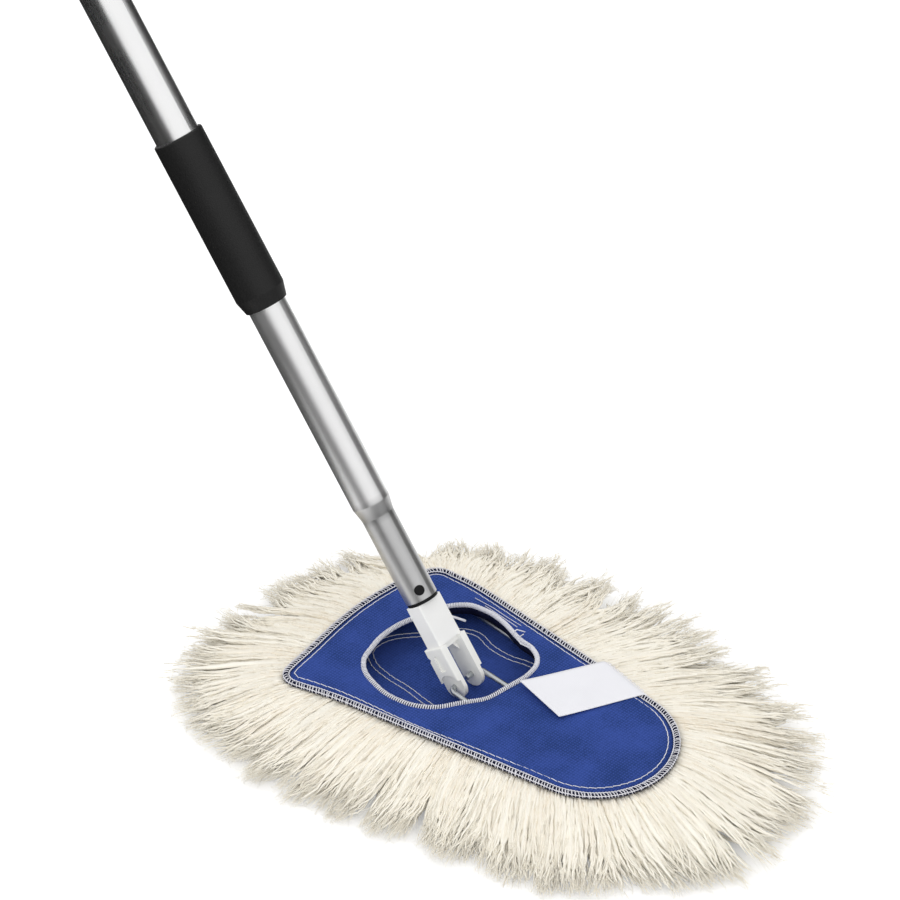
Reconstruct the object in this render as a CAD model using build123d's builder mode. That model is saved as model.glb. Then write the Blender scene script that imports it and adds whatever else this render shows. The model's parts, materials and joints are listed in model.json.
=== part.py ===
from build123d import *
from math import acos, atan2, cos, hypot, radians, sin
import os

# Wedge mop: a wedge-shaped pocket dust-mop head on a telescopic, twist-locked handle.
# All sizes are in millimetres. +X points to the nose, +Y to the mop's left side, +Z up.
# The origin is on the floor, straight below the hinge of the handle.

# Clearances
RUNNING_FIT = 0.1
SEAT_GAP = 0.05
CLOTH_GAP = 0.15
SLIDE_GAP = 0.4
FRAME_GAP = 0.3

# Handle pose and hinge
HANDLE_ANGLE = 53.7
PIN_HEIGHT = 22.0

# Upper tube, grip and end cap
UPPER_DIAMETER = 25.4
UPPER_WALL = 0.9
UPPER_LENGTH = 560.0
GRIP_LENGTH = 105.0
GRIP_DIAMETER = 29.0
GRIP_TAPER = 8.0
GRIP_LIP_WALL = 0.9
GRIP_EDGE = 1.2
BUSH_LENGTH = 22.0
BUSH_FLANGE = 1.5
CAP_PLUG_LENGTH = 20.0
CAP_COLLAR_LENGTH = 7.0
CAP_RECESS_RADIUS = 8.0
EYE_HEIGHT = 26.0
EYE_WIDTH = 21.0
EYE_THICKNESS = 8.0
EYE_HOLE_RADIUS = 4.5
EYE_EDGE = 1.5

# Lower tube with its swaged neck
LOWER_DIAMETER = 22.2
LOWER_WALL = 0.9
LOWER_LENGTH = 560.0
LOWER_EXPOSED = 125.0
NECK_DIAMETER = 19.05
NECK_LENGTH = 53.0
SWAGE_LENGTH = 8.0

# Twist lock at the top of the lower tube
LOCK_PLUG_LENGTH = 26.0
LOCK_FLANGE = 2.0
STUD_DIAMETER = 6.0
STUD_DEPTH = 18.0
SLEEVE_LENGTH = 24.0
SLEEVE_SLIT = 2.4
SLEEVE_END_RADIUS = 6.5
SLEEVE_MOUTH_RADIUS = 9.5
CONE_SINK = 3.0
CONE_HEAD = 3.0
NUT_WIDTH = 10.0
NUT_HEIGHT = 5.0
NUT_STANDOFF = 4.0
STUD_TAIL = 2.0
STUD_CHAMFER = 0.6

# Plug, snap button and screw in the neck
PLUG_FLANGE = 2.0
PLUG_FLANGE_SETBACK = 0.4
PLUG_LENGTH = 35.0
PLUG_SEAT = 21.0
BUTTON_STATION = 6.0
BUTTON_TURN = 32.0
BUTTON_RADIUS = 2.9
BUTTON_RIM = 0.9
BUTTON_RIM_HEIGHT = 1.0
BUTTON_STAND = 0.5
BUTTON_DOME = 0.8
BUTTON_WELL_WALL = 0.9
SPRING_WIRE = 0.4
SPRING_TURNS = 3
SCREW_DIAMETER = 5.0
SCREW_GRIP = 18.0
SCREW_HEAD_RADIUS = 4.4
SCREW_HEAD_HEIGHT = 3.0
SCREW_DRIVE = 3.0
SCREW_DRIVE_DEPTH = 1.6

# Spacer block and yoke fork
BLOCK_LENGTH = 26.0
BLOCK_WIDTH = 18.0
BLOCK_DEPTH = 11.4
BLOCK_WALL = 1.5
BLOCK_EDGE = 0.7
EAR_LENGTH = 25.0
EAR_RADIUS = 7.5
EAR_GAP = 12.0
EAR_THICKNESS = 4.5
EAR_EDGE = 0.8
EAR_RECESS_RADIUS = 8.3
EAR_RECESS_DEPTH = 2.0
EAR_POCKET_LENGTH = 10.0
EAR_POCKET_WIDTH = 4.4
EAR_POCKET_DEPTH = 1.2
EAR_POCKET_STATION = 15.5
EAR_NOTCH = 1.4
EAR_NOTCH_STATION = 19.0
BRIDGE_HEIGHT = 3.0
GUSSET_HEIGHT = 6.0
GUSSET_DEPTH = 3.6
GUSSET_WIDTH = 2.6

# Wire frame in the pocket
WIRE_DIAMETER = 3.2
PIN_PROUD = 4.6
PIN_BEND = 3.8
LEG_SPREAD = 3.4
LEG_RUN = 46.0
LEG_BEND = 30.0
FRAME_INSET = 6.0
FRAME_REACH = 112.0
FRAME_CORNER = 14.0
LOBE_FULLNESS = 0.48
PIN_END_ROUND = 0.6

# Wedge outline of the cloth
HEEL_X = -70.0
HEEL_HALF_WIDTH = 64.5
HEEL_BULGE = 11.0
HEEL_CORNER = 9.0
NOSE_X = 92.0
NOSE_RADIUS = 44.5

# Head layers
PILE_THICKNESS = 12.3
PILE_EDGE = 2.0
CLOTH = 1.2
SEAM_HEIGHT = 26.6
COVER_SLOPE = 6.0
COVER_RISE = 2.4
SERGE_WIDTH = 3.2
SERGE_HEIGHT = 2.6
SERGE_ROUND = 1.0
OPENING_X = -12.2
OPENING_Y = 1.7
OPENING_LENGTH = 91.0
OPENING_WIDTH = 84.0
HEM_DIAMETER = 4.0
TAG_WIDTH = 36.0
TAG_LENGTH = 51.0
TAG_CLOTH = 0.6
TAG_X = 70.9
TAG_TURN = -21.0
TAG_OVERLAP = 6.0

# Yarn fringe
SIDE_REACH = 66.0
END_STRETCH = 0.15
LOCK_PITCH = 8.4
LOCK_STAGGER = 0.5
LOCK_SWAY = 0.05
LOCK_SWAY_TURN = 2.4
LOCK_SHOULDER = 0.94
LOCK_GAP = 1.0
SLIT_DEPTH = 0.62
SLIT_SWAY = 0.16
FAN_SPAN = 40.0
FAN_SAMPLES = 12
TAPE_WIDTH = 3.0
TAPE_FOOT = 10.5
TAPE_BITE = 1.0
NOSE_SHARE = 0.23
HEEL_SHARE = 0.25

# Side view of the fringe: share of the reach, then height above the floor
UPPER_CROWN = [(0.19, 24.6), (0.54, 20.6), (0.88, 14.6), (1.06, 10.0), (1.08, 0.0)]
UPPER_UNDER = [(0.19, 20.8), (0.52, 15.8), (0.85, 8.6), (0.95, 0.0)]
LOWER_CROWN = [(0.16, 15.0), (0.38, 11.0), (0.57, 7.6), (0.82, 4.4), (0.84, 0.0)]
LOWER_UNDER = [(0.14, 9.0), (0.34, 2.6), (0.47, 0.0)]
UPPER_ROOTS = (25.0, 21.4)
LOWER_ROOTS = (17.0, 11.2)

# Planes and axis of the handle, from the hinge upwards
tilt = radians(HANDLE_ANGLE)
up_handle = Vector(-cos(tilt), 0, sin(tilt))
front_of_handle = Vector(sin(tilt), 0, cos(tilt))
hinge = Vector(0, 0, PIN_HEIGHT)
across = Plane(origin=hinge, x_dir=front_of_handle, z_dir=up_handle)
along = Plane(origin=hinge, x_dir=front_of_handle, z_dir=(0, -1, 0))
handle_axis = Axis(hinge, up_handle)

# Stations along the handle, measured from the hinge
block_foot = EAR_LENGTH
block_head = block_foot + BLOCK_LENGTH
neck_foot = block_head + PLUG_FLANGE
swage_foot = neck_foot + NECK_LENGTH
swage_head = swage_foot + SWAGE_LENGTH
lower_head = neck_foot + LOWER_LENGTH
grip_foot = swage_head + LOWER_EXPOSED
upper_foot = grip_foot + GRIP_TAPER
upper_head = upper_foot + UPPER_LENGTH
sleeve_foot = lower_head + LOCK_FLANGE + SEAT_GAP
sleeve_head = sleeve_foot + SLEEVE_LENGTH
cone_head = sleeve_head + CONE_HEAD
nut_foot = cone_head + NUT_STANDOFF
stud_head = nut_foot + NUT_HEIGHT + STUD_TAIL
screw_seat = neck_foot + PLUG_SEAT

# Radii of the handle
upper_radius = UPPER_DIAMETER / 2
upper_bore = upper_radius - UPPER_WALL
lower_radius = LOWER_DIAMETER / 2
lower_bore = lower_radius - LOWER_WALL
neck_radius = NECK_DIAMETER / 2
neck_bore = neck_radius - LOWER_WALL
stud_radius = STUD_DIAMETER / 2
screw_radius = SCREW_DIAMETER / 2
wire_radius = WIRE_DIAMETER / 2
bush_bore = lower_radius + RUNNING_FIT

# Heights of the head's layers
base_foot = PILE_THICKNESS
cover_top = SEAM_HEIGHT + COVER_RISE
cover_under = cover_top - CLOTH
hem_radius = HEM_DIAMETER / 2
hem_height = cover_top
frame_height = base_foot + CLOTH + FRAME_GAP + wire_radius

os.makedirs("parts", exist_ok=True)


def half_profile(*corners):
    """Closed profile given as radius and station, in the plane along the handle."""
    with BuildSketch(along) as profile:
        with BuildLine():
            Polyline(*corners, close=True)
        make_face()
    return profile.sketch


def wedge(height, grow, stretch=0):
    """Wedge outline of the head at a height, grown outwards and stretched at nose and heel."""
    heel_x = HEEL_X - stretch
    nose_x = NOSE_X + stretch
    heel_direction = atan2(HEEL_HALF_WIDTH, heel_x - nose_x)
    tangent = heel_direction - acos(NOSE_RADIUS / hypot(nose_x - heel_x, HEEL_HALF_WIDTH))
    tangent_x = nose_x + NOSE_RADIUS * cos(tangent)
    tangent_y = NOSE_RADIUS * sin(tangent)
    heel_left = (heel_x, HEEL_HALF_WIDTH)
    heel_right = (heel_x, -HEEL_HALF_WIDTH)
    with BuildSketch(Plane.XY.offset(height)) as outline:
        with BuildLine():
            ThreePointArc(heel_left, (heel_x - HEEL_BULGE, 0), heel_right)
            Line(heel_right, (tangent_x, -tangent_y))
            ThreePointArc((tangent_x, -tangent_y), (nose_x + NOSE_RADIUS, 0), (tangent_x, tangent_y))
            Line((tangent_x, tangent_y), heel_left)
        make_face()
        fillet(outline.vertices().group_by(Axis.X)[0], HEEL_CORNER)
        if grow:
            offset(amount=grow)
    return outline.sketch


def opening(height, grow):
    """Round-ended opening of the cover at a height, grown outwards by the given amount."""
    with BuildSketch(Plane.XY.offset(height)) as outline:
        with Locations((OPENING_X, OPENING_Y)):
            SlotOverall(OPENING_LENGTH + 2 * grow, OPENING_WIDTH + 2 * grow, rotation=90)
    return outline.sketch


def save(builder, name):
    """Label a finished piece and write it to its own file."""
    builder.part.label = name
    export_step(builder.part, f"parts/{name}.step")


# Upper tube
with BuildPart() as upper_tube:
    with BuildSketch(across.offset(upper_foot)):
        Circle(upper_radius)
        Circle(upper_bore, mode=Mode.SUBTRACT)
    extrude(amount=UPPER_LENGTH)
save(upper_tube, "upper_tube")

# Guide bush that centres the lower tube in the mouth of the upper tube
with BuildPart() as guide_bush:
    revolve(
        half_profile(
            (bush_bore, upper_foot - BUSH_FLANGE),
            (upper_radius, upper_foot - BUSH_FLANGE),
            (upper_radius, upper_foot),
            (upper_bore - SEAT_GAP, upper_foot),
            (upper_bore - SEAT_GAP, upper_foot + BUSH_LENGTH),
            (bush_bore, upper_foot + BUSH_LENGTH),
        ),
        axis=handle_axis,
    )
save(guide_bush, "guide_bush")

# Grip sleeve, tapered where it closes on the lower tube
grip_bore = upper_radius + SEAT_GAP
grip_mouth = lower_radius + SLIDE_GAP
grip_head = grip_foot + GRIP_LENGTH
with BuildPart() as grip_sleeve:
    revolve(
        half_profile(
            (grip_mouth, grip_foot),
            (grip_mouth + GRIP_LIP_WALL, grip_foot),
            (GRIP_DIAMETER / 2, upper_foot),
            (GRIP_DIAMETER / 2, grip_head),
            (grip_bore, grip_head),
            (grip_bore, upper_foot - BUSH_FLANGE),
            (grip_mouth, upper_foot - BUSH_FLANGE),
        ),
        axis=handle_axis,
    )
    grip_rims = grip_sleeve.edges().filter_by(GeomType.CIRCLE).group_by(handle_axis)[-1]
    fillet(grip_rims.sort_by(SortBy.RADIUS)[-1], GRIP_EDGE)
save(grip_sleeve, "grip_sleeve")

# End cap with a flat hanging eye
cap_collar_head = upper_head + CAP_COLLAR_LENGTH
eye_centre = cap_collar_head + EYE_HEIGHT - EYE_WIDTH / 2
with BuildPart() as end_cap:
    revolve(
        half_profile(
            (CAP_RECESS_RADIUS, upper_head - CAP_PLUG_LENGTH),
            (upper_bore - SEAT_GAP, upper_head - CAP_PLUG_LENGTH),
            (upper_bore - SEAT_GAP, upper_head),
            (upper_radius, upper_head),
            (upper_radius, cap_collar_head),
            (0, cap_collar_head),
            (0, upper_head),
            (CAP_RECESS_RADIUS, upper_head),
        ),
        axis=handle_axis,
    )
    with BuildSketch(along.offset(-EYE_THICKNESS / 2)):
        with Locations((0, eye_centre)):
            Circle(EYE_WIDTH / 2)
        with Locations((0, (upper_head + eye_centre) / 2)):
            Rectangle(EYE_WIDTH, eye_centre - upper_head)
    extrude(amount=EYE_THICKNESS)
    rims = end_cap.faces().filter_by(Axis.Y).edges().filter_by(GeomType.CIRCLE)
    fillet(rims, EYE_EDGE)
    with BuildSketch(along.offset(-EYE_THICKNESS)):
        with Locations((0, eye_centre)):
            Circle(EYE_HOLE_RADIUS)
    extrude(amount=2 * EYE_THICKNESS, mode=Mode.SUBTRACT)
save(end_cap, "end_cap")

# Radial plane of the snap button: its normal points out through the neck's hole
button_station = neck_foot + BUTTON_STATION
button_side = radians(BUTTON_TURN)
button_out = across.x_dir * cos(button_side) - across.y_dir * sin(button_side)
button_plane = Plane(origin=hinge + up_handle * button_station, x_dir=up_handle, z_dir=button_out)
button_floor = screw_radius + RUNNING_FIT + BUTTON_WELL_WALL
well_radius = BUTTON_RADIUS + BUTTON_RIM + RUNNING_FIT
rim_top = (neck_bore**2 - well_radius**2) ** 0.5 - SEAT_GAP
rim_foot = rim_top - BUTTON_RIM_HEIGHT

# Lower tube with its swaged neck and button hole
with BuildPart() as lower_tube:
    revolve(
        half_profile(
            (neck_bore, neck_foot),
            (neck_radius, neck_foot),
            (neck_radius, swage_foot),
            (lower_radius, swage_head),
            (lower_radius, lower_head),
            (lower_bore, lower_head),
            (lower_bore, swage_head),
            (neck_bore, swage_foot),
        ),
        axis=handle_axis,
    )
    with BuildSketch(button_plane):
        Circle(BUTTON_RADIUS + RUNNING_FIT)
    extrude(amount=NECK_DIAMETER, mode=Mode.SUBTRACT)
save(lower_tube, "lower_tube")

# Plug that closes the neck, with its flange below the tube end
plug_radius = neck_bore - RUNNING_FIT
with BuildPart() as neck_plug:
    revolve(
        half_profile(
            (screw_radius + RUNNING_FIT, block_head),
            (neck_radius - PLUG_FLANGE_SETBACK, block_head),
            (neck_radius - PLUG_FLANGE_SETBACK, neck_foot),
            (plug_radius, neck_foot),
            (plug_radius, neck_foot + PLUG_LENGTH),
            (SCREW_HEAD_RADIUS + SLIDE_GAP, neck_foot + PLUG_LENGTH),
            (SCREW_HEAD_RADIUS + SLIDE_GAP, screw_seat),
            (screw_radius + RUNNING_FIT, screw_seat),
        ),
        axis=handle_axis,
    )
    with BuildSketch(button_plane.offset(button_floor)):
        Circle(well_radius)
    extrude(amount=NECK_DIAMETER, mode=Mode.SUBTRACT)
save(neck_plug, "neck_plug")

# Snap button with a rim that stops it under the tube wall
with BuildPart() as snap_button:
    with BuildSketch(button_plane.offset(rim_foot)):
        Circle(BUTTON_RADIUS + BUTTON_RIM)
    extrude(amount=BUTTON_RIM_HEIGHT)
    with BuildSketch(button_plane.offset(rim_top)):
        Circle(BUTTON_RADIUS)
    extrude(amount=neck_radius + BUTTON_STAND - rim_top)
    button_crown = snap_button.faces().sort_by(Axis(button_plane.origin, button_out))[-1]
    fillet(button_crown.edges(), BUTTON_DOME)
save(snap_button, "snap_button")

# Coil spring behind the button
spring_foot = button_floor + SPRING_WIRE / 2 + SEAT_GAP
spring_head = rim_foot - SPRING_WIRE / 2 - SEAT_GAP
spring_pitch = (spring_head - spring_foot) / SPRING_TURNS
with BuildPart() as button_spring:
    with BuildLine() as coil:
        Helix(
            pitch=spring_pitch,
            height=spring_head - spring_foot,
            radius=BUTTON_RADIUS,
            center=button_plane.offset(spring_foot).origin,
            direction=button_out,
        )
    with BuildSketch(Plane(origin=coil.line @ 0, z_dir=coil.line % 0)):
        Circle(SPRING_WIRE / 2)
    sweep(is_frenet=True)
save(button_spring, "button_spring")

# Spacer block: a hollow sleeve round the fork's core
with BuildPart() as spacer_block:
    with BuildSketch(across.offset(block_foot)):
        RectangleRounded(BLOCK_DEPTH, BLOCK_WIDTH, BLOCK_EDGE)
    extrude(amount=BLOCK_LENGTH)
    block_rims = spacer_block.faces().sort_by(handle_axis)[-1].edges()
    fillet(block_rims, BLOCK_EDGE / 2)
    with BuildSketch(across.offset(block_foot)):
        Rectangle(BLOCK_DEPTH - 2 * BLOCK_WALL, BLOCK_WIDTH - 2 * BLOCK_WALL)
    extrude(amount=BLOCK_LENGTH, mode=Mode.SUBTRACT)
save(spacer_block, "spacer_block")

# Yoke fork: two ears that carry the wire's ends, and a core that fills the spacer block
ear_outer = EAR_GAP / 2 + EAR_THICKNESS
core_depth = BLOCK_DEPTH - 2 * BLOCK_WALL - 2 * RUNNING_FIT
core_width = BLOCK_WIDTH - 2 * BLOCK_WALL - 2 * RUNNING_FIT
with BuildPart() as yoke_fork:
    with BuildSketch(along.offset(EAR_GAP / 2)):
        Circle(EAR_RADIUS)
        with Locations((0, EAR_LENGTH / 2)):
            Rectangle(2 * EAR_RADIUS, EAR_LENGTH)
    extrude(amount=EAR_THICKNESS)
    ear_face = yoke_fork.faces().sort_by(Axis.Y)[0]
    fillet(ear_face.edges(), EAR_EDGE)
    with BuildSketch(along.offset(ear_outer)):
        Circle(EAR_RECESS_RADIUS)
    extrude(amount=-EAR_RECESS_DEPTH, mode=Mode.SUBTRACT)
    with BuildSketch(along.offset(ear_outer)):
        with Locations((0, EAR_POCKET_STATION)):
            RectangleRounded(EAR_POCKET_WIDTH, EAR_POCKET_LENGTH, EAR_POCKET_WIDTH / 4)
    extrude(amount=-EAR_POCKET_DEPTH, mode=Mode.SUBTRACT)
    with BuildSketch(along.offset(ear_outer)):
        with Locations((-EAR_RADIUS, EAR_NOTCH_STATION)):
            Rectangle(2 * EAR_NOTCH, 2 * EAR_NOTCH, rotation=45)
    extrude(amount=-EAR_NOTCH, mode=Mode.SUBTRACT)
    with BuildSketch(along):
        Circle(wire_radius + RUNNING_FIT)
    extrude(amount=ear_outer, mode=Mode.SUBTRACT)
    with BuildSketch(across.offset(EAR_LENGTH)):
        with Locations((0, -EAR_GAP / 4)):
            Rectangle(core_depth, EAR_GAP / 2)
    extrude(amount=-BRIDGE_HEIGHT)
    with BuildSketch(Plane(origin=hinge, x_dir=(0, -1, 0), z_dir=-front_of_handle)):
        with BuildLine():
            Polyline(
                (EAR_GAP / 2, EAR_LENGTH - BRIDGE_HEIGHT),
                (EAR_GAP / 2, EAR_LENGTH - BRIDGE_HEIGHT - GUSSET_HEIGHT),
                (EAR_GAP / 2 - GUSSET_DEPTH, EAR_LENGTH - BRIDGE_HEIGHT),
                close=True,
            )
        make_face()
    extrude(amount=GUSSET_WIDTH / 2, both=True)
    mirror(about=Plane.XZ)
    with BuildSketch(across.offset(block_foot)):
        RectangleRounded(core_depth, core_width, BLOCK_EDGE)
    extrude(amount=BLOCK_LENGTH - SEAT_GAP)
    with BuildSketch(across.offset(block_head)):
        Circle(screw_radius + SEAT_GAP)
    extrude(amount=-SCREW_GRIP, mode=Mode.SUBTRACT)
save(yoke_fork, "yoke_fork")

# Screw that clamps the plug and the block on the fork
with BuildPart() as yoke_screw:
    with BuildSketch(across.offset(block_head - SCREW_GRIP + SEAT_GAP)):
        Circle(screw_radius)
    extrude(amount=screw_seat - block_head + SCREW_GRIP)
    with BuildSketch(across.offset(screw_seat + SEAT_GAP)):
        Circle(SCREW_HEAD_RADIUS)
    extrude(amount=SCREW_HEAD_HEIGHT)
    with BuildSketch(across.offset(screw_seat + SEAT_GAP + SCREW_HEAD_HEIGHT)):
        RegularPolygon(SCREW_DRIVE / 2, 6, major_radius=False)
    extrude(amount=-SCREW_DRIVE_DEPTH, mode=Mode.SUBTRACT)
save(yoke_screw, "yoke_screw")

# Lock plug fixed in the head of the lower tube
with BuildPart() as lock_plug:
    revolve(
        half_profile(
            (stud_radius + SEAT_GAP, lower_head - LOCK_PLUG_LENGTH),
            (lower_bore - SEAT_GAP, lower_head - LOCK_PLUG_LENGTH),
            (lower_bore - SEAT_GAP, lower_head),
            (lower_radius, lower_head),
            (lower_radius, lower_head + LOCK_FLANGE),
            (stud_radius + SEAT_GAP, lower_head + LOCK_FLANGE),
        ),
        axis=handle_axis,
    )
save(lock_plug, "lock_plug")

# Threaded stud, drawn at its outer diameter
with BuildPart() as lock_stud:
    with BuildSketch(across.offset(lower_head - STUD_DEPTH)):
        Circle(stud_radius)
    extrude(amount=stud_head - lower_head + STUD_DEPTH)
    chamfer(lock_stud.edges().filter_by(GeomType.CIRCLE), STUD_CHAMFER)
save(lock_stud, "lock_stud")

# Split sleeve that the cone spreads against the upper tube's bore
with BuildPart() as expander_sleeve:
    revolve(
        half_profile(
            (SLEEVE_END_RADIUS, sleeve_foot),
            (upper_bore - RUNNING_FIT, sleeve_foot),
            (upper_bore - RUNNING_FIT, sleeve_head),
            (SLEEVE_MOUTH_RADIUS, sleeve_head),
        ),
        axis=handle_axis,
    )
    with BuildSketch(across.offset(sleeve_foot)):
        with Locations((upper_bore / 2, 0)):
            Rectangle(upper_bore, SLEEVE_SLIT)
    extrude(amount=SLEEVE_LENGTH, mode=Mode.SUBTRACT)
save(expander_sleeve, "expander_sleeve")

# Cone that runs on the stud and spreads the sleeve
flare = (SLEEVE_MOUTH_RADIUS - SLEEVE_END_RADIUS) / SLEEVE_LENGTH
cone_foot = sleeve_foot + CONE_SINK
cone_foot_radius = SLEEVE_END_RADIUS + flare * CONE_SINK - SEAT_GAP
with BuildPart() as expander_cone:
    revolve(
        half_profile(
            (stud_radius + RUNNING_FIT, cone_foot),
            (cone_foot_radius, cone_foot),
            (SLEEVE_MOUTH_RADIUS - SEAT_GAP, sleeve_head),
            (SLEEVE_MOUTH_RADIUS - SEAT_GAP, cone_head),
            (stud_radius + RUNNING_FIT, cone_head),
        ),
        axis=handle_axis,
    )
save(expander_cone, "expander_cone")

# Stop nut at the stud's end
with BuildPart() as stop_nut:
    with BuildSketch(across.offset(nut_foot)):
        RegularPolygon(NUT_WIDTH / 2, 6, major_radius=False)
        Circle(stud_radius + SEAT_GAP, mode=Mode.SUBTRACT)
    extrude(amount=NUT_HEIGHT)
save(stop_nut, "stop_nut")

# Wire frame: hinge pins in the ears, two legs down to the base cloth and on to the nose,
# then back along the sides and round the heel
leg_y = ear_outer - EAR_RECESS_DEPTH + PIN_BEND + RUNNING_FIT
pin_tip = EAR_GAP / 2 - PIN_PROUD
side_slope = (HEEL_HALF_WIDTH - NOSE_RADIUS) / (NOSE_X - HEEL_X)
side_at_heel = HEEL_HALF_WIDTH - FRAME_INSET - side_slope * FRAME_INSET
side_at_nose = HEEL_HALF_WIDTH - FRAME_INSET - side_slope * (FRAME_REACH - HEEL_X)
leg_at_nose = leg_y + LEG_SPREAD
leg_at_run = leg_y + LEG_SPREAD * LEG_RUN / FRAME_REACH
lobe_radius = LOBE_FULLNESS * (side_at_nose - leg_at_nose)
heel_bar = HEEL_X + FRAME_INSET
heel_bar_radius = (side_at_heel**2 + HEEL_BULGE**2) / (2 * HEEL_BULGE)
left_half = [
    (heel_bar, side_at_heel, frame_height),
    (FRAME_REACH, side_at_nose, frame_height),
    (FRAME_REACH, leg_at_nose, frame_height),
    (LEG_RUN, leg_at_run, frame_height),
    (0, leg_y, PIN_HEIGHT),
    (0, pin_tip, PIN_HEIGHT),
]
right_half = [(x, -y, z) for x, y, z in reversed(left_half)]
frame_bends = [PIN_BEND, LEG_BEND, lobe_radius, lobe_radius, FRAME_CORNER]
with BuildPart() as wire_frame:
    with BuildLine() as frame_path:
        FilletPolyline(
            *right_half,
            (heel_bar - HEEL_BULGE, 0, frame_height),
            *left_half,
            radius=[*frame_bends, heel_bar_radius, *reversed(frame_bends)],
        )
    with BuildSketch(Plane(origin=frame_path.line @ 0, z_dir=frame_path.line % 0)):
        Circle(wire_radius)
    sweep()
    pin_ends = wire_frame.faces().filter_by(GeomType.PLANE).edges()
    fillet(pin_ends, PIN_END_ROUND)
save(wire_frame, "wire_frame")

# Yarn pile under the base cloth, the mop's working face
with BuildPart() as sole_pile:
    extrude(wedge(0, -PILE_EDGE), amount=PILE_THICKNESS)
save(sole_pile, "sole_pile")

# Base cloth of the pocket
with BuildPart() as base_cloth:
    extrude(wedge(base_foot, -CLOTH_GAP), amount=CLOTH)
save(base_cloth, "base_cloth")

# Cover cloth with its opening
with BuildPart() as cover_cloth:
    loft([wedge(SEAM_HEIGHT, 0), wedge(cover_top, -COVER_SLOPE)], ruled=True)
    loft([wedge(SEAM_HEIGHT, -CLOTH), wedge(cover_under, -COVER_SLOPE - CLOTH)], ruled=True, mode=Mode.SUBTRACT)
    extrude(opening(SEAM_HEIGHT, hem_radius), amount=2 * COVER_RISE, mode=Mode.SUBTRACT)
save(cover_cloth, "cover_cloth")

# Bound hem round the opening
with BuildPart() as opening_hem:
    hem_path = opening(hem_height, 0).face().outer_wire()
    with BuildSketch(Plane(origin=hem_path @ 0, z_dir=hem_path % 0)):
        Circle(hem_radius - CLOTH_GAP / 2)
    sweep(path=hem_path)
save(opening_hem, "opening_hem")

# Serged edge round the cover
with BuildPart() as serged_edge:
    extrude(wedge(SEAM_HEIGHT, SERGE_WIDTH), amount=SERGE_HEIGHT)
    fillet(serged_edge.faces().sort_by(Axis.Z)[-1].edges(), SERGE_ROUND)
    extrude(wedge(SEAM_HEIGHT, CLOTH_GAP), amount=SERGE_HEIGHT, mode=Mode.SUBTRACT)
save(serged_edge, "serged_edge")

# Blank tag sewn on the left seam, lying on the cover
tag_y = HEEL_HALF_WIDTH - side_slope * (TAG_X - HEEL_X) + TAG_OVERLAP
tag_height = max(cover_top, SEAM_HEIGHT + SERGE_HEIGHT) + CLOTH_GAP
with BuildPart() as side_tag:
    with BuildSketch(Plane.XY.offset(tag_height)):
        with Locations(Location((TAG_X, tag_y), TAG_TURN)):
            Rectangle(TAG_WIDTH, TAG_LENGTH, align=(Align.CENTER, Align.MAX))
    extrude(amount=TAG_CLOTH)
save(side_tag, "side_tag")

# Yarn fringe: two skirts of yarn locks that fan out from a heading tape below the serged edge
fringe_line = wedge(0, 0).face().outer_wire()
fringe_length = fringe_line.length
nose_tip = fringe_line.param_at_point(Vector(NOSE_X + NOSE_RADIUS, 0, 0))
lock_count = round(fringe_length / LOCK_PITCH)
tape_height = SEAM_HEIGHT - TAPE_FOOT
skirt_root = TAPE_WIDTH - TAPE_BITE


def skirt_sections(root_height, side_view):
    """Outlines of one face of a skirt, from its root in the tape down to the floor."""
    sections = [wedge(root_height, skirt_root)]
    for share, height in side_view:
        reach = share * SIDE_REACH
        sections.append(wedge(height, reach, END_STRETCH * reach))
    return sections


def fringe_place(count):
    """Share of the outline at a count of locks from the nose tip, towards the left side."""
    return (nose_tip + count / lock_count) % 1


def fan_direction(place):
    """Outward direction at a share of the outline, eased over the corners."""
    total = Vector(0, 0, 0)
    for sample in range(-FAN_SAMPLES, FAN_SAMPLES + 1):
        shift = sample / FAN_SAMPLES * FAN_SPAN / fringe_length
        tangent = fringe_line % ((place + shift) % 1)
        total += Vector(tangent.Y, -tangent.X, 0)
    return total.normalized()


def fringe_point(count, reach, sideways=0):
    """Plan point at a count of locks, a reach outwards and a shift along the outline."""
    place = fringe_place(count)
    outwards = fan_direction(place)
    point = fringe_line @ place + outwards * reach + Vector(-outwards.Y, outwards.X, 0) * sideways
    return (point.X, point.Y)


def lock_reach(count):
    """Reach of a lock's tip: longer at the nose and heel, and a little uneven."""
    stretch = END_STRETCH * fan_direction(fringe_place(count)).X ** 2
    return SIDE_REACH * (1 + stretch + LOCK_SWAY * sin(LOCK_SWAY_TURN * count))


def comb_outline(first, last, shift):
    """Plan outline of the locks between two counts: pointed tips with slits between them."""
    outline = [fringe_point(first, 0, LOCK_GAP / 2)]
    for lock in range(first, last):
        start = lock + (shift if lock > first else 0)
        end = lock + 1 + (shift if lock + 1 < last else 0)
        middle = (start + end) / 2
        reach = lock_reach(middle)
        outline.append(fringe_point(start, LOCK_SHOULDER * reach, LOCK_GAP / 2))
        outline.append(fringe_point(middle, reach))
        outline.append(fringe_point(end, LOCK_SHOULDER * reach, -LOCK_GAP / 2))
        slit = SLIT_DEPTH + SLIT_SWAY * sin(LOCK_SWAY_TURN * lock)
        if lock + 1 < last:
            outline.append(fringe_point(end, (1 - slit) * reach))
    outline.append(fringe_point(last, 0, -LOCK_GAP / 2))
    inner = [fringe_point(count, -TAPE_WIDTH) for count in range(last, first - 1, -2)]
    return outline + inner


with BuildPart() as upper_skirt:
    loft(skirt_sections(UPPER_ROOTS[0], UPPER_CROWN), ruled=True)
    loft(skirt_sections(UPPER_ROOTS[1], UPPER_UNDER), ruled=True, mode=Mode.SUBTRACT)
    extrude(wedge(0, skirt_root), amount=SEAM_HEIGHT, mode=Mode.SUBTRACT)

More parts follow.
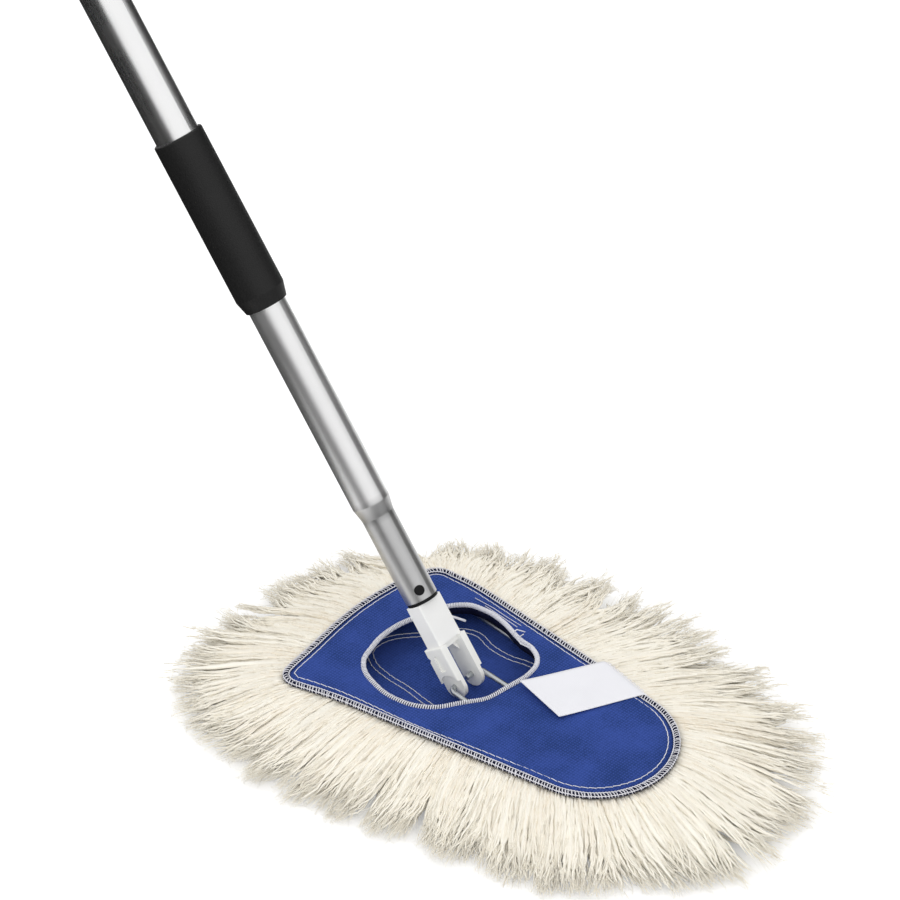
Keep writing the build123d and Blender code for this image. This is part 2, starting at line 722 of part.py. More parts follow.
with BuildPart() as lower_skirt:
    loft(skirt_sections(LOWER_ROOTS[0], LOWER_CROWN), ruled=True)
    loft(skirt_sections(LOWER_ROOTS[1], LOWER_UNDER), ruled=True, mode=Mode.SUBTRACT)
    extrude(wedge(0, skirt_root), amount=SEAM_HEIGHT, mode=Mode.SUBTRACT)

with BuildPart() as heading_tape:
    extrude(wedge(TAPE_FOOT, TAPE_WIDTH), amount=tape_height)
    extrude(wedge(TAPE_FOOT, CLOTH_GAP), amount=tape_height, mode=Mode.SUBTRACT)

half_nose = round(lock_count * NOSE_SHARE / 2)
half_heel = round(lock_count * HEEL_SHARE / 2)
heel_first = lock_count // 2 - half_heel
heel_last = lock_count - heel_first
fringe_regions = {
    "fringe_nose": (-half_nose, half_nose),
    "fringe_left": (half_nose, heel_first),
    "fringe_heel": (heel_first, heel_last),
    "fringe_right": (heel_last, lock_count - half_nose),
}
for region, (first, last) in fringe_regions.items():
    layers = []
    for skirt, shift in ((upper_skirt, 0), (lower_skirt, LOCK_STAGGER), (heading_tape, 0)):
        with BuildPart() as layer:
            add(skirt.part)
            with BuildSketch():
                with BuildLine():
                    Polyline(*comb_outline(first, last, shift), close=True)
                make_face()
            extrude(amount=SEAM_HEIGHT, mode=Mode.INTERSECT)
        layers.append(layer.part)
    with BuildPart() as fringe:
        add(layers)
    save(fringe, region)
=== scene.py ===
import json
import math

import bmesh
import bpy
import numpy as np
from mathutils import Matrix, Vector, noise


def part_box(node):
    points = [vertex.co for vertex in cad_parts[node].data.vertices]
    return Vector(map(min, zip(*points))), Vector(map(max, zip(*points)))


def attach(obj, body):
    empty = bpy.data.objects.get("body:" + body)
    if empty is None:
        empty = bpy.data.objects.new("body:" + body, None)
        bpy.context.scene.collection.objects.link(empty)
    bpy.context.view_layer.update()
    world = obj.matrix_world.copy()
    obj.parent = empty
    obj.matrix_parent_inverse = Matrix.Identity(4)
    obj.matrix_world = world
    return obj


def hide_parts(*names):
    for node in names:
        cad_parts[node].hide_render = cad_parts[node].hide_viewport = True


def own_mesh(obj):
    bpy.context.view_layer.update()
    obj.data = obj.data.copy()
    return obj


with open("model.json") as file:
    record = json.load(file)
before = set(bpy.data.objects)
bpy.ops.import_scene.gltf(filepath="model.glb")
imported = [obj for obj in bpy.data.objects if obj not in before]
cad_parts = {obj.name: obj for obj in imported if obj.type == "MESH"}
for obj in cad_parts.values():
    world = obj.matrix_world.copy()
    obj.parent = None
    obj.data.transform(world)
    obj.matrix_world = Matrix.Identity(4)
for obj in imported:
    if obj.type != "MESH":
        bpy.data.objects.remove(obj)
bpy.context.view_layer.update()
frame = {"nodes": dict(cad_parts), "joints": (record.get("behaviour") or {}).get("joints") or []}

bl_info = {
    "name": "Wedge mop",
    "version": (1, 0, 0),
    "blender": (4, 5, 0),
    "location": "View3D > Sidebar > Mop",
    "description": "Dresses a wedge mop with its finishes, its sewn cloth pocket and its cotton yarn",
    "category": "Object",
}

MM = 0.001
SEED = 11

# Points along a yarn and a loose fibre, and along the closed lines of seam, cloths, sewn rows and hem wraps
YARN_STEPS = 13
FIBRE_STEPS = 4
SEAM_STEPS = 720
BASE_STEPS = 180
CLOTH_STEPS = 240
ROW_STEPS = 360
WRAP_STEPS = 3200

# Sides of the tubes that threads, plies and fibres are made of
TUBE_SIDES = 4

# Width of one band of the wave texture at a scale of one
WAVE_BAND = 0.314

# Joints, heights, the handle's direction and the hinge, read from the frame
JOINTS = {joint["name"]: joint for joint in frame["joints"]}
SEAM_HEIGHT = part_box("cover_cloth")[0].z
COVER_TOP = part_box("cover_cloth")[1].z
BASE_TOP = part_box("base_cloth")[1].z
PILE_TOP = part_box("sole_pile")[1].z
HANDLE_UP = Vector(JOINTS["telescope"]["axis"])
HINGE = Vector(JOINTS["handle_pivot"]["pos_m"])

# Distance up the handle from the hinge to the middle of the lower tube's swaged shoulder
SWAGE_STATION = 110 * MM

# Waves in the base cloth: their size and height
BASE_WAVE = 20 * MM
BASE_SWELL = 0.3 * MM

# The cover's edge: its rise over the seam and the width of the slope behind it
EDGE_RISE = 0.4 * MM
EDGE_SLOPE = 6 * MM

# Slack in the cover's top: the size and height of its waves
SLACK_WAVE = 34 * MM
SLACK_HEIGHT = 0.55 * MM

# Puckers along the cover's row: how far in from the seam, how wide a band, and the size and height of each
PUCKER_INSET = 5 * MM
PUCKER_BAND = 4 * MM
PUCKER_WAVE = 1.9 * MM
PUCKER_HEIGHT = 0.16 * MM

# Plan of the opening's hem in millimetres, a slack loop that the handle has pulled out of round
HEM_POINTS = [
    (-46.6, -32.3), (-29.8, -41.8), (-11.4, -43.8), (5.6, -37.5), (15.5, -25.3), (23.1, -11.2), (28.5, 6.5),
    (29.9, 21.0), (26.9, 30.9), (18.6, 37.6), (7.5, 39.7), (-10.5, 45.8), (-23.5, 47.1), (-36.3, 43.4),
    (-50.9, 15.2), (-54.2, -3.6), (-52.3, -17.9),
]

# Height of the hem's core over the cover, and radius of the thread that wraps it
HEM_LIFT = 0.1 * MM
HEM_THREAD = 0.42 * MM

# Plan place in millimetres where the fork's near ear comes down on the hem when the handle swings forwards,
# and the depth and width of the dip that leaves room for it
FORK_REST = (22.8, -9.0)
FORK_DIP = 2.2 * MM
FORK_DIP_WIDTH = 9.0 * MM

# Loose threads as radius and points in millimetres: the knot at the hem, two strays along the left side and
# the end of the hem's cord behind the block
LOOSE_THREADS = [
    (0.4, [(1.7, 39.7, 31.5), (2.0, 43.5, 31.2), (6.2, 45.7, 30.2)]),
    (0.4, [(7.2, 43.0, 30.9), (7.4, 37.0, 32.0), (11.5, 35.2, 31.2), (17.3, 35.8, 31.0)]),
    (0.22, [(-35.1, 51.7, 29.5), (-21.6, 51.3, 29.7), (-8.5, 49.6, 29.8), (0.6, 49.1, 29.7)]),
    (0.22, [(-26.2, 49.8, 29.7), (-13.1, 48.1, 30.0), (0.0, 46.3, 30.2)]),
    (0.95, [
        (-43.5, 29.5, 29.2), (-39.0, 30.5, 28.8), (-33.6, 31.9, 28.6), (-30.4, 32.8, 28.5),
        (-27.2, 33.7, 28.3),
    ]),
]

# Plan of the inner seam that sews the sole's yarn to the base cloth, in millimetres, and the gap of its rows
YARN_SEAM_POINTS = [
    (-62.0, -4.0), (-55.0, -12.0), (-42.0, -16.0), (-26.0, -17.5), (-10.0, -20.0), (25.0, -22.0),
    (70.0, -20.0), (92.0, 8.0), (60.0, 36.0), (13.0, 39.0), (2.0, 36.5), (-12.0, 37.0), (-28.0, 40.5),
    (-46.0, 24.0),
]
YARN_SEAM_GAP = 3.4 * MM

# Section of the raw edge under the overlock: distance out from the seam and height, in millimetres
RAW_EDGE = [(-0.4, 26.9), (0.2, 27.9), (1.4, 28.2), (2.6, 27.9), (3.0, 27.0), (1.4, 26.6)]

# One bar of the overlock: share of its slant, distance out from the seam, height and radius, in millimetres
SERGE_BAR = [
    (0.0, -0.1, 27.9, 0.25), (0.3, 0.7, 28.6, 0.32), (0.65, 1.9, 28.6, 0.32), (0.9, 2.9, 27.9, 0.29),
    (1.0, 3.0, 26.9, 0.25),
]

# Threads that run along the overlocked edge: distance out from the seam, height and radius, in millimetres
SERGE_CHAINS = [(-0.5, 28.2, 0.36), (2.75, 28.3, 0.27)]

# Corners of the tag in millimetres: plan place and height, from the near left corner round by the right
TAG_CORNERS = [(32.2, 8.6, 32.0), (67.0, 0.4, 30.6), (92.0, 50.2, 29.4), (57.5, 57.8, 29.8)]
TAG_THICKNESS = 0.35 * MM
TAG_STITCHES = 9

# Corners of the cloth that are pulled out of the wedge outline: corner, then pull, in millimetres
CORNER_PULLS = [((-70, -64), (-3.8, -4.2)), ((-70, 64), (1.0, -4.0))]
PULL_SPREAD = 20 * MM

# Heading tape behind the yarn's roots: heights of its edges, distance out from the seam and thickness
TAPE_FOOT = 10.5 * MM
TAPE_TOP = SEAM_HEIGHT - 0.2 * MM
TAPE_OUT = 0.9 * MM
TAPE_THICKNESS = 1.2 * MM

# How the fringe lies round the seam: share of the seam from the nose tip towards the left side, share of the
# full reach, and height of the top yarns' tips in millimetres. It is flattened at the left heel corner
FRINGE_LIE = [
    (0.0, 0.97, 6), (0.07, 1.15, 9), (0.14, 1.24, 13), (0.22, 1.2, 13), (0.28, 1.08, 11), (0.34, 0.98, 6),
    (0.39, 0.76, 4), (0.45, 0.88, 5), (0.5, 0.92, 7), (0.56, 1.03, 7), (0.62, 0.89, 6), (0.7, 0.97, 6),
    (0.8, 0.87, 6), (0.88, 0.82, 6), (0.94, 0.75, 6), (1.0, 0.97, 6),
]

# Stretches of the fringe: the node that each replaces, and the share of the seam at which each ends
FRINGE_NODES = {
    "yarn_nose": "fringe_nose",
    "yarn_left": "fringe_left",
    "yarn_heel": "fringe_heel",
    "yarn_right": "fringe_right",
}
FRINGE_ENDS = [(0.115, "yarn_nose"), (0.375, "yarn_left"), (0.625, "yarn_heel"), (0.885, "yarn_right")]

# Plan place in millimetres that the yarns fan away from, and the gap between the seam and where they start
FAN_CENTRE = (20.0, 0.0)
ROOT_GAP = 2 * MM

# Narrowest and widest lock that the yarns gather into
LOCK_WIDTHS = (6.5 * MM, 14 * MM)

# Layers of yarn: root height in millimetres, share of the reach, share of the top layer's tip height, plies,
# ply radius in millimetres, loose fibres. The single thick plies are the bulk that fills the gaps between the
# finer yarns
YARN_LAYERS = [
    (25.4, 1.0, 1.0, 2, 0.75, 12), (24.8, 1.0, 0.95, 2, 0.8, 10), (24.0, 0.95, 0.88, 1, 2.1, 2),
    (22.8, 1.0, 0.8, 2, 0.9, 5), (20.6, 0.95, 0.64, 1, 2.3, 2), (17.6, 0.98, 0.44, 2, 1.0, 3),
    (13.6, 0.92, 0.22, 1, 2.3, 2),
]

# Layers whose yarns gather into the upper locks
UPPER_LAYERS = 2

# Tufts of the sole: distance between them, plies in each, height of their roots, and a ply's radius in
# millimetres at points from root to tip
TUFT_PITCH = 5.2 * MM
TUFT_PLIES = 3
TUFT_ROOT = PILE_TOP - 0.3 * MM
TUFT_RADII = (0.81, 0.9, 0.855, 0.54)

# Camera: focal length in millimetres, distance, and how far the picture's middle lies left of the hinge and
# above it
LENS = 215.4
CAMERA_FAR = 3.0
MIDDLE_LEFT = 8.2 * MM
MIDDLE_ABOVE = 127.7 * MM


def linear(colour):
    """Linear colour of an sRGB hex value."""
    channels = [int(colour[place : place + 2], 16) / 255 for place in (1, 3, 5)]
    return [c / 12.92 if c <= 0.04045 else ((c + 0.055) / 1.055) ** 2.4 for c in channels]


def rgba(colour, share=1.0):
    """Colour or a share of its light, with full opacity, for a shader's socket."""
    return (*[share * c for c in colour], 1.0)


class MopSizes(bpy.types.PropertyGroup):
    """Sizes of the sewn and yarn pieces."""

    yarn_pitch: bpy.props.FloatProperty(
        name="Yarn pitch", description="Distance between yarns along the seam",
        default=1.8 * MM, unit="LENGTH",
    )
    yarn_reach: bpy.props.FloatProperty(
        name="Yarn reach", description="How far the fringe reaches out at the sides",
        default=66 * MM, unit="LENGTH",
    )
    end_stretch: bpy.props.FloatProperty(
        name="End stretch", description="Extra share of the reach at nose and heel",
        default=0.15, subtype="FACTOR",
    )
    fibre_radius: bpy.props.FloatProperty(
        name="Fibre radius", description="Radius of the loose fibres at the tips",
        default=0.16 * MM, unit="LENGTH",
    )
    serge_pitch: bpy.props.FloatProperty(
        name="Serge pitch", description="Distance between overlock stitches", default=1.75 * MM, unit="LENGTH"
    )
    hem_radius: bpy.props.FloatProperty(
        name="Hem radius", description="Radius of the hem's rolled core", default=0.95 * MM, unit="LENGTH"
    )
    stitch_pitch: bpy.props.FloatProperty(
        name="Stitch pitch", description="Length of a straight stitch with its gap",
        default=4.4 * MM, unit="LENGTH",
    )
    thread_radius: bpy.props.FloatProperty(
        name="Thread radius", description="Radius of the sewing thread", default=0.27 * MM, unit="LENGTH"
    )
    cloth: bpy.props.FloatProperty(
        name="Cloth thickness", description="Thickness of the pocket's canvas",
        default=0.7 * MM, unit="LENGTH",
    )


class MopColours(bpy.types.PropertyGroup):
    """Colours of the mop's materials."""

    canvas: bpy.props.FloatVectorProperty(
        name="Canvas", description="Blue cotton of the pocket", default=linear("#364E9A"), subtype="COLOR"
    )
    canvas_dark: bpy.props.FloatVectorProperty(
        name="Canvas shade", description="Threads deeper in the weave",
        default=linear("#223972"), subtype="COLOR",
    )
    # Painted shade: a near-black blue for the cut edge under the overlock, the hem's core between its wraps
    # and the facing that hangs under the hem, standing in for the shade there
    edge_shade: bpy.props.FloatVectorProperty(
        name="Edge shade", description="Near-black painted shade on the cut edge, hem core and facing", default=linear("#141836"), subtype="COLOR"
    )
    thread: bpy.props.FloatVectorProperty(
        name="Thread", description="White sewing thread", default=linear("#EDEDF4"), subtype="COLOR"
    )
    tag: bpy.props.FloatVectorProperty(
        name="Tag", description="White satin of the tag", default=linear("#EAEAEF"), subtype="COLOR"
    )
    yarn: bpy.props.FloatVectorProperty(
        name="Yarn", description="Unbleached cotton yarn", default=linear("#F9F5EA"), subtype="COLOR"
    )
    yarn_tan: bpy.props.FloatVectorProperty(
        name="Yarn fleck", description="Darker plies of the yarn", default=linear("#E4D4BA"), subtype="COLOR"
    )
    aluminium: bpy.props.FloatVectorProperty(
        name="Aluminium", description="Drawn aluminium of the tubes",
        default=linear("#F5F5F5"), subtype="COLOR",
    )
    grip: bpy.props.FloatVectorProperty(
        name="Grip", description="Black foam of the grip", default=linear("#0F0F0F"), subtype="COLOR"
    )
    block: bpy.props.FloatVectorProperty(
        name="Block", description="White moulding of the spacer block",
        default=linear("#F2F2F0"), subtype="COLOR",
    )
    fork: bpy.props.FloatVectorProperty(
        name="Fork", description="Pale grey moulding of the fork", default=linear("#F3F3EF"), subtype="COLOR"
    )


def add_node(tree, kind, inputs=None, links=None, **settings):
    """Adds one node with its settings, the values of its sockets and the links that feed them."""
    node = tree.nodes.new(kind)
    for name, value in settings.items():
        setattr(node, name, value)
    for socket, value in (inputs or {}).items():
        node.inputs[socket].default_value = value
    for socket, source in (links or {}).items():
        tree.links.new(source, node.inputs[socket])
    return node


def new_material(name, **sockets):
    """Material with one Principled shader, its node tree and that shader."""
    material = bpy.data.materials.new(name)
    material.use_nodes = True
    tree = material.node_tree
    shader = tree.nodes["Principled BSDF"]
    for socket, value in sockets.items():
        shader.inputs[socket.replace("_", " ")].default_value = value
    return material, tree, shader


def feed(tree, shader, **sources):
    """Links what feeds a shader to its sockets."""
    for socket, source in sources.items():
        tree.links.new(source, shader.inputs[socket.replace("_", " ")])


def drawn_aluminium(name, colour, satin):
    """Aluminium tube, drawn through a die: fine lengthwise lines, a satin shine, a darker colour on the neck
    below the swage and painted shade on the swage's shoulder.
    """
    material, tree, shader = new_material(name, Metallic=1.0)
    place = add_node(tree, "ShaderNodeTexCoord").outputs["Object"]
    lean = math.atan2(HANDLE_UP.x, HANDLE_UP.z)
    along, lengthwise = [
        add_node(
            tree, "ShaderNodeMapping", vector_type="TEXTURE", links={"Vector": place},
            inputs={"Location": HINGE, "Rotation": (0, lean, 0), "Scale": (1, 1, stretch)},
        ).outputs["Vector"]
        for stretch in (1, 300)
    ]
    # Draw lines are a few hundredths of a millimetre wide, drawn here 0.8 mm wide so that they show
    lines = add_node(
        tree, "ShaderNodeTexNoise", links={"Vector": lengthwise},
        inputs={"Scale": 1 / (0.8 * MM), "Detail": 2.0},
    ).outputs["Fac"]
    smears = add_node(
        tree, "ShaderNodeTexNoise", links={"Vector": place}, inputs={"Scale": 1 / (28 * MM)}
    ).outputs["Fac"]
    both = add_node(tree, "ShaderNodeMath", operation="ADD", links={0: lines, 1: smears}).outputs[0]
    rough = add_node(
        tree, "ShaderNodeMapRange", links={"Value": both},
        inputs={"From Min": 0.6, "From Max": 1.4, "To Min": satin - 0.04, "To Max": satin + 0.04},
    ).outputs["Result"]
    station = add_node(tree, "ShaderNodeSeparateXYZ", links={"Vector": along}).outputs["Z"]
    above = add_node(
        tree, "ShaderNodeMapRange", links={"Value": station},
        inputs={"From Min": SWAGE_STATION - 4 * MM, "From Max": SWAGE_STATION + 4 * MM},
    ).outputs["Result"]
    # The colour is darker on the neck below the swage
    tint = add_node(
        tree, "ShaderNodeMix", data_type="RGBA", links={0: above},
        inputs={6: rgba(colour, 0.64), 7: rgba(colour)},
    ).outputs[2]
    # Painted shade: the colour darkens round the swage's shoulder, standing in for the shade on its curve
    past = add_node(
        tree, "ShaderNodeMath", operation="SUBTRACT", links={0: station}, inputs={1: SWAGE_STATION}
    ).outputs[0]
    away = add_node(tree, "ShaderNodeMath", operation="ABSOLUTE", links={0: past}).outputs[0]
    shoulder_shade = add_node(
        tree, "ShaderNodeMapRange", links={"Value": away},
        inputs={"From Min": 3 * MM, "From Max": 8 * MM, "To Min": 0.62, "To Max": 1.0},
    ).outputs["Result"]
    shoulder_shaded_colour = add_node(
        tree, "ShaderNodeVectorMath", operation="SCALE", links={0: tint, "Scale": shoulder_shade}
    ).outputs["Vector"]
    bump = add_node(
        tree, "ShaderNodeBump", links={"Height": lines}, inputs={"Strength": 0.02, "Distance": 0.1 * MM}
    ).outputs["Normal"]
    feed(tree, shader, Base_Color=shoulder_shaded_colour, Roughness=rough, Normal=bump)
    return material


def plated_steel(name, colour, rough, cloud):
    """Zinc plated steel: a dull bright metal, clouded where the plating is uneven."""
    material, tree, shader = new_material(name, Metallic=1.0)
    place = add_node(tree, "ShaderNodeTexCoord").outputs["Object"]
    clouds = add_node(
        tree, "ShaderNodeTexNoise", links={"Vector": place}, inputs={"Scale": 1 / cloud, "Detail": 4.0}
    ).outputs["Fac"]
    tint = add_node(
        tree, "ShaderNodeMix", data_type="RGBA", links={0: clouds},
        inputs={6: rgba(colour, 0.72), 7: rgba(colour)},
    ).outputs[2]
    shine = add_node(
        tree, "ShaderNodeMapRange", links={"Value": clouds},
        inputs={"To Min": rough - 0.08, "To Max": rough + 0.1},
    ).outputs["Result"]
    feed(tree, shader, Base_Color=tint, Roughness=shine)
    return material


def moulded_plastic(name, colour, rough, grain, relief, gloss=0.5):
    """Injection moulded plastic: an even colour, a faint spark-eroded grain and a broad soft shine."""
    material, tree, shader = new_material(name, IOR=1.5, Specular_IOR_Level=gloss)
    place = add_node(tree, "ShaderNodeTexCoord").outputs["Object"]
    # The grain is about 0.1 mm wide, drawn as wide as the caller says so that it shows
    grit = add_node(
        tree, "ShaderNodeTexNoise", links={"Vector": place}, inputs={"Scale": 1 / grain, "Detail": 3.0}
    ).outputs["Fac"]
    flow = add_node(
        tree, "ShaderNodeTexNoise", links={"Vector": place}, inputs={"Scale": 1 / (14 * MM)}
    ).outputs["Fac"]
    tint = add_node(
        tree, "ShaderNodeMix", data_type="RGBA", links={0: flow},
        inputs={6: rgba(colour, 0.93), 7: rgba(colour)},
    ).outputs[2]
    shine = add_node(
        tree, "ShaderNodeMapRange", links={"Value": grit},
        inputs={"To Min": rough - 0.06, "To Max": rough + 0.08},
    ).outputs["Result"]
    bump = add_node(
        tree, "ShaderNodeBump", links={"Height": grit}, inputs={"Strength": relief, "Distance": 0.1 * MM}
    ).outputs["Normal"]
    feed(tree, shader, Base_Color=tint, Roughness=shine, Normal=bump)
    return material


def foam_rubber(name, colour):
    """Closed-cell foam sleeve: matt black with fine cells, a little greyer where hands rub it."""
    material, tree, shader = new_material(name, Roughness=0.55, IOR=1.5, Specular_IOR_Level=0.4)
    place = add_node(tree, "ShaderNodeTexCoord").outputs["Object"]
    # Cells of about 0.3 mm, drawn at 0.8 mm so that they show
    cells = add_node(
        tree, "ShaderNodeTexVoronoi", links={"Vector": place}, inputs={"Scale": 1 / (0.8 * MM)}
    ).outputs["Distance"]
    rub = add_node(
        tree, "ShaderNodeTexNoise", links={"Vector": place}, inputs={"Scale": 1 / (18 * MM), "Detail": 4.0}
    ).outputs["Fac"]
    tint = add_node(
        tree, "ShaderNodeMix", data_type="RGBA", links={0: rub},
        inputs={6: rgba(colour, 0.75), 7: rgba(colour, 1.3)},
    ).outputs[2]
    bump = add_node(
        tree, "ShaderNodeBump", links={"Height": cells}, inputs={"Strength": 0.35, "Distance": 0.25 * MM}
    ).outputs["Normal"]
    feed(tree, shader, Base_Color=tint, Normal=bump)
    return material


def cotton_canvas(name, colour, shade):
    """Plain woven cotton canvas, piece dyed: crossing threads, a slightly uneven dye and a dry surface."""
    material, tree, shader = new_material(name, Roughness=0.9, IOR=1.45, Specular_IOR_Level=0.2)
    place = add_node(tree, "ShaderNodeTexCoord").outputs["Object"]
    # Threads lie about 0.6 mm apart, drawn 1.7 mm apart so that they show
    warp, weft = [
        add_node(
            tree, "ShaderNodeTexWave", links={"Vector": place}, bands_direction=way,
            inputs={"Scale": WAVE_BAND / (1.7 * MM), "Distortion": 1.2, "Detail": 2.0, "Detail Scale": 1.5},
        ).outputs["Fac"]
        for way in ("X", "Y")
    ]
    weave = add_node(tree, "ShaderNodeMath", operation="MULTIPLY", links={0: warp, 1: weft}).outputs[0]
    fade = add_node(
        tree, "ShaderNodeTexNoise", links={"Vector": place}, inputs={"Scale": 1 / (22 * MM), "Detail": 5.0}
    ).outputs["Fac"]
    slub = add_node(
        tree, "ShaderNodeTexNoise", links={"Vector": place}, inputs={"Scale": 1 / (1.6 * MM), "Detail": 2.0}
    ).outputs["Fac"]
    depth = add_node(
        tree, "ShaderNodeMath", operation="MULTIPLY_ADD", links={0: weave, 2: fade}, inputs={1: 0.5}
    ).outputs[0]
    mixed = add_node(
        tree, "ShaderNodeMath", operation="MULTIPLY_ADD", links={0: slub, 2: depth}, inputs={1: 0.5}
    ).outputs[0]
    share = add_node(
        tree, "ShaderNodeMapRange", links={"Value": mixed}, inputs={"From Min": 0.6, "From Max": 1.12}
    ).outputs["Result"]
    tint = add_node(
        tree, "ShaderNodeMix", data_type="RGBA", links={0: share}, inputs={6: rgba(shade), 7: rgba(colour)}
    ).outputs[2]
    bump = add_node(
        tree, "ShaderNodeBump", links={"Height": weave}, inputs={"Strength": 0.5, "Distance": 0.25 * MM}
    ).outputs["Normal"]
    feed(tree, shader, Base_Color=tint, Normal=bump)
    return material


def sewing_thread(name, colour):
    """Spun polyester thread: white with a faint lustre and small changes of tone along it."""
    material, tree, shader = new_material(name, Roughness=0.6, IOR=1.5, Sheen_Weight=0.2)
    place = add_node(tree, "ShaderNodeTexCoord").outputs["Object"]
    # The thread's turns lie about 0.4 mm apart, drawn 0.9 mm apart so that they show
    twist = add_node(
        tree, "ShaderNodeTexNoise", links={"Vector": place}, inputs={"Scale": 1 / (0.9 * MM), "Detail": 2.0}
    ).outputs["Fac"]
    tint = add_node(
        tree, "ShaderNodeMix", data_type="RGBA", links={0: twist},
        inputs={6: rgba(colour, 0.8), 7: rgba(colour)},
    ).outputs[2]
    feed(tree, shader, Base_Color=tint)
    return material


def woven_satin(name, colour):
    """Woven label satin: close weft lines, bright white with a slight shine."""
    material, tree, shader = new_material(name, Roughness=0.5, IOR=1.5, Sheen_Weight=0.15)
    place = add_node(tree, "ShaderNodeTexCoord").outputs["Object"]
    # Weft lines lie about 0.3 mm apart, drawn 0.9 mm apart so that they show, and run across the tag
    across = add_node(
        tree, "ShaderNodeMapping", links={"Vector": place}, inputs={"Rotation": (0, 0, math.radians(24))}
    ).outputs["Vector"]
    weft = add_node(
        tree, "ShaderNodeTexWave", links={"Vector": across}, bands_direction="Y",
        inputs={"Scale": WAVE_BAND / (0.9 * MM), "Distortion": 0.6, "Detail": 1.0},
    ).outputs["Fac"]
    soil = add_node(
        tree, "ShaderNodeTexNoise", links={"Vector": place}, inputs={"Scale": 1 / (15 * MM), "Detail": 3.0}
    ).outputs["Fac"]
    tint = add_node(
        tree, "ShaderNodeMix", data_type="RGBA", links={0: soil},
        inputs={6: rgba(colour, 0.93), 7: rgba(colour)},
    ).outputs[2]
    bump = add_node(
        tree, "ShaderNodeBump", links={"Height": weft}, inputs={"Strength": 0.15, "Distance": 0.1 * MM}
    ).outputs["Normal"]
    feed(tree, shader, Base_Color=tint, Normal=bump)
    return material


def cotton_yarn(name, colour, fleck):
    """Soft spun cotton mop yarn, unbleached: cream with tan flecks by each strand's tone, and dull."""
    material, tree, shader = new_material(name, Roughness=0.95, IOR=1.4, Specular_IOR_Level=0.1)
    tone = add_node(tree, "ShaderNodeAttribute", attribute_name="tone").outputs["Fac"]
    place = add_node(tree, "ShaderNodeTexCoord").outputs["Object"]
    fluff = add_node(
        tree, "ShaderNodeTexNoise", links={"Vector": place}, inputs={"Scale": 1 / (2.2 * MM), "Detail": 3.0}
    ).outputs["Fac"]
    share = add_node(tree, "ShaderNodeMath", operation="MULTIPLY", links={0: tone, 1: fluff}).outputs[0]
    tint = add_node(
        tree, "ShaderNodeMix", data_type="RGBA", links={0: share}, inputs={6: rgba(colour), 7: rgba(fleck)}
    ).outputs[2]
    feed(tree, shader, Base_Color=tint)
    return material


def give_piece(name, mesh, materials, body, replaces=()):
    """Object for a finished mesh, with its finish, riding on a body."""
    piece = bpy.data.objects.new(name, mesh)
    bpy.context.scene.collection.objects.link(piece)
    for material in materials:
        mesh.materials.append(material)
    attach(piece, body)
    for node in replaces:
        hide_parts(node)
    return piece


def thicken(piece, thickness, offset):
    """Gives a cloth its thickness, to one side of its mesh or to both."""
    wall = piece.modifiers.new("Thickness", "SOLIDIFY")
    wall.thickness = thickness
    wall.offset = offset


def finished(name, shape):
    """Smooth mesh of a shape that is done."""
    mesh = bpy.data.meshes.new(name)
    shape.to_mesh(mesh)
    shape.free()
    mesh.shade_smooth()
    return mesh


def shares(count):
    """Even shares of a closed line."""
    return np.arange(count) / count


def eased(value, low, high):
    """Smooth step from nought at low to one at high."""
    share = np.clip((value - low) / (high - low), 0, 1)
    return share * share * (3 - 2 * share)


def walk(line, places):
    """Points at shares of the length of a closed plan line."""
    closed = np.vstack([line, line[:1]])
    run = np.concatenate([[0.0], np.cumsum(np.linalg.norm(np.diff(closed, axis=0), axis=1))])
    at = np.mod(places, 1.0) * run[-1]
    return np.column_stack([np.interp(at, run, closed[:, axis]) for axis in (0, 1)])


def line_length(line):
    """Length of a closed plan line."""
    return float(np.linalg.norm(np.roll(line, -1, axis=0) - line, axis=1).sum())


def plan_area(line):
    """Area inside a closed plan line."""
    ahead = np.roll(line, -1, axis=0)
    return abs(float((line[:, 0] * ahead[:, 1] - line[:, 1] * ahead[:, 0]).sum())) / 2


def outwards(line, places, span):
    """Unit directions out of a closed plan line, eased over a span of its length."""
    span_share = span / line_length(line)
    step = 0.002
    total = np.zeros((len(places), 2))
    for sample in np.linspace(-1, 1, 25):
        middle = places + sample * span_share
        ahead = walk(line, middle + step) - walk(line, middle - step)
        ahead /= np.linalg.norm(ahead, axis=1)[:, None]
        total += np.column_stack([ahead[:, 1], -ahead[:, 0]])
    return total / np.linalg.norm(total, axis=1)[:, None]


def wedge_line():
    """Plan line of the pocket's seam, read from the base cloth, from the nose tip towards the left side."""
    corners = np.array([vertex.co for vertex in frame["nodes"]["base_cloth"].data.vertices])
    top = np.unique(np.round(corners[corners[:, 2] > BASE_TOP - 0.1 * MM][:, :2], 6), axis=0)
    turn = np.arctan2(top[:, 1], top[:, 0])
    line = top[np.argsort(np.where(turn < -1e-6, turn + 2 * math.pi, turn))]
    line = walk(line, shares(SEAM_STEPS))
    for corner, pull in CORNER_PULLS:
        away = np.linalg.norm(line - np.array(corner) * MM, axis=1)
        line = line + np.exp(-((away / PULL_SPREAD) ** 2))[:, None] * np.array(pull) * MM
    return line


def smooth_line(points, count):
    """Plan line of evenly spaced points on a smooth closed curve through points in millimetres."""
    curve = bpy.data.curves.new("smooth_line", "CURVE")
    curve.dimensions = "3D"
    curve.resolution_u = 16
    spline = curve.splines.new("BEZIER")
    spline.bezier_points.add(len(points) - 1)
    spline.use_cyclic_u = True
    for knot, (x, y) in zip(spline.bezier_points, points):
        knot.co = (x * MM, y * MM, 0)
        knot.handle_left_type = "AUTO"
        knot.handle_right_type = "AUTO"
    holder = bpy.data.objects.new("smooth_line", curve)
    mesh = bpy.data.meshes.new_from_object(holder)
    dense = np.array([vertex.co[:2] for vertex in mesh.vertices])
    bpy.data.objects.remove(holder)
    bpy.data.curves.remove(curve)
    bpy.data.meshes.remove(mesh)
    return walk(dense, shares(count))


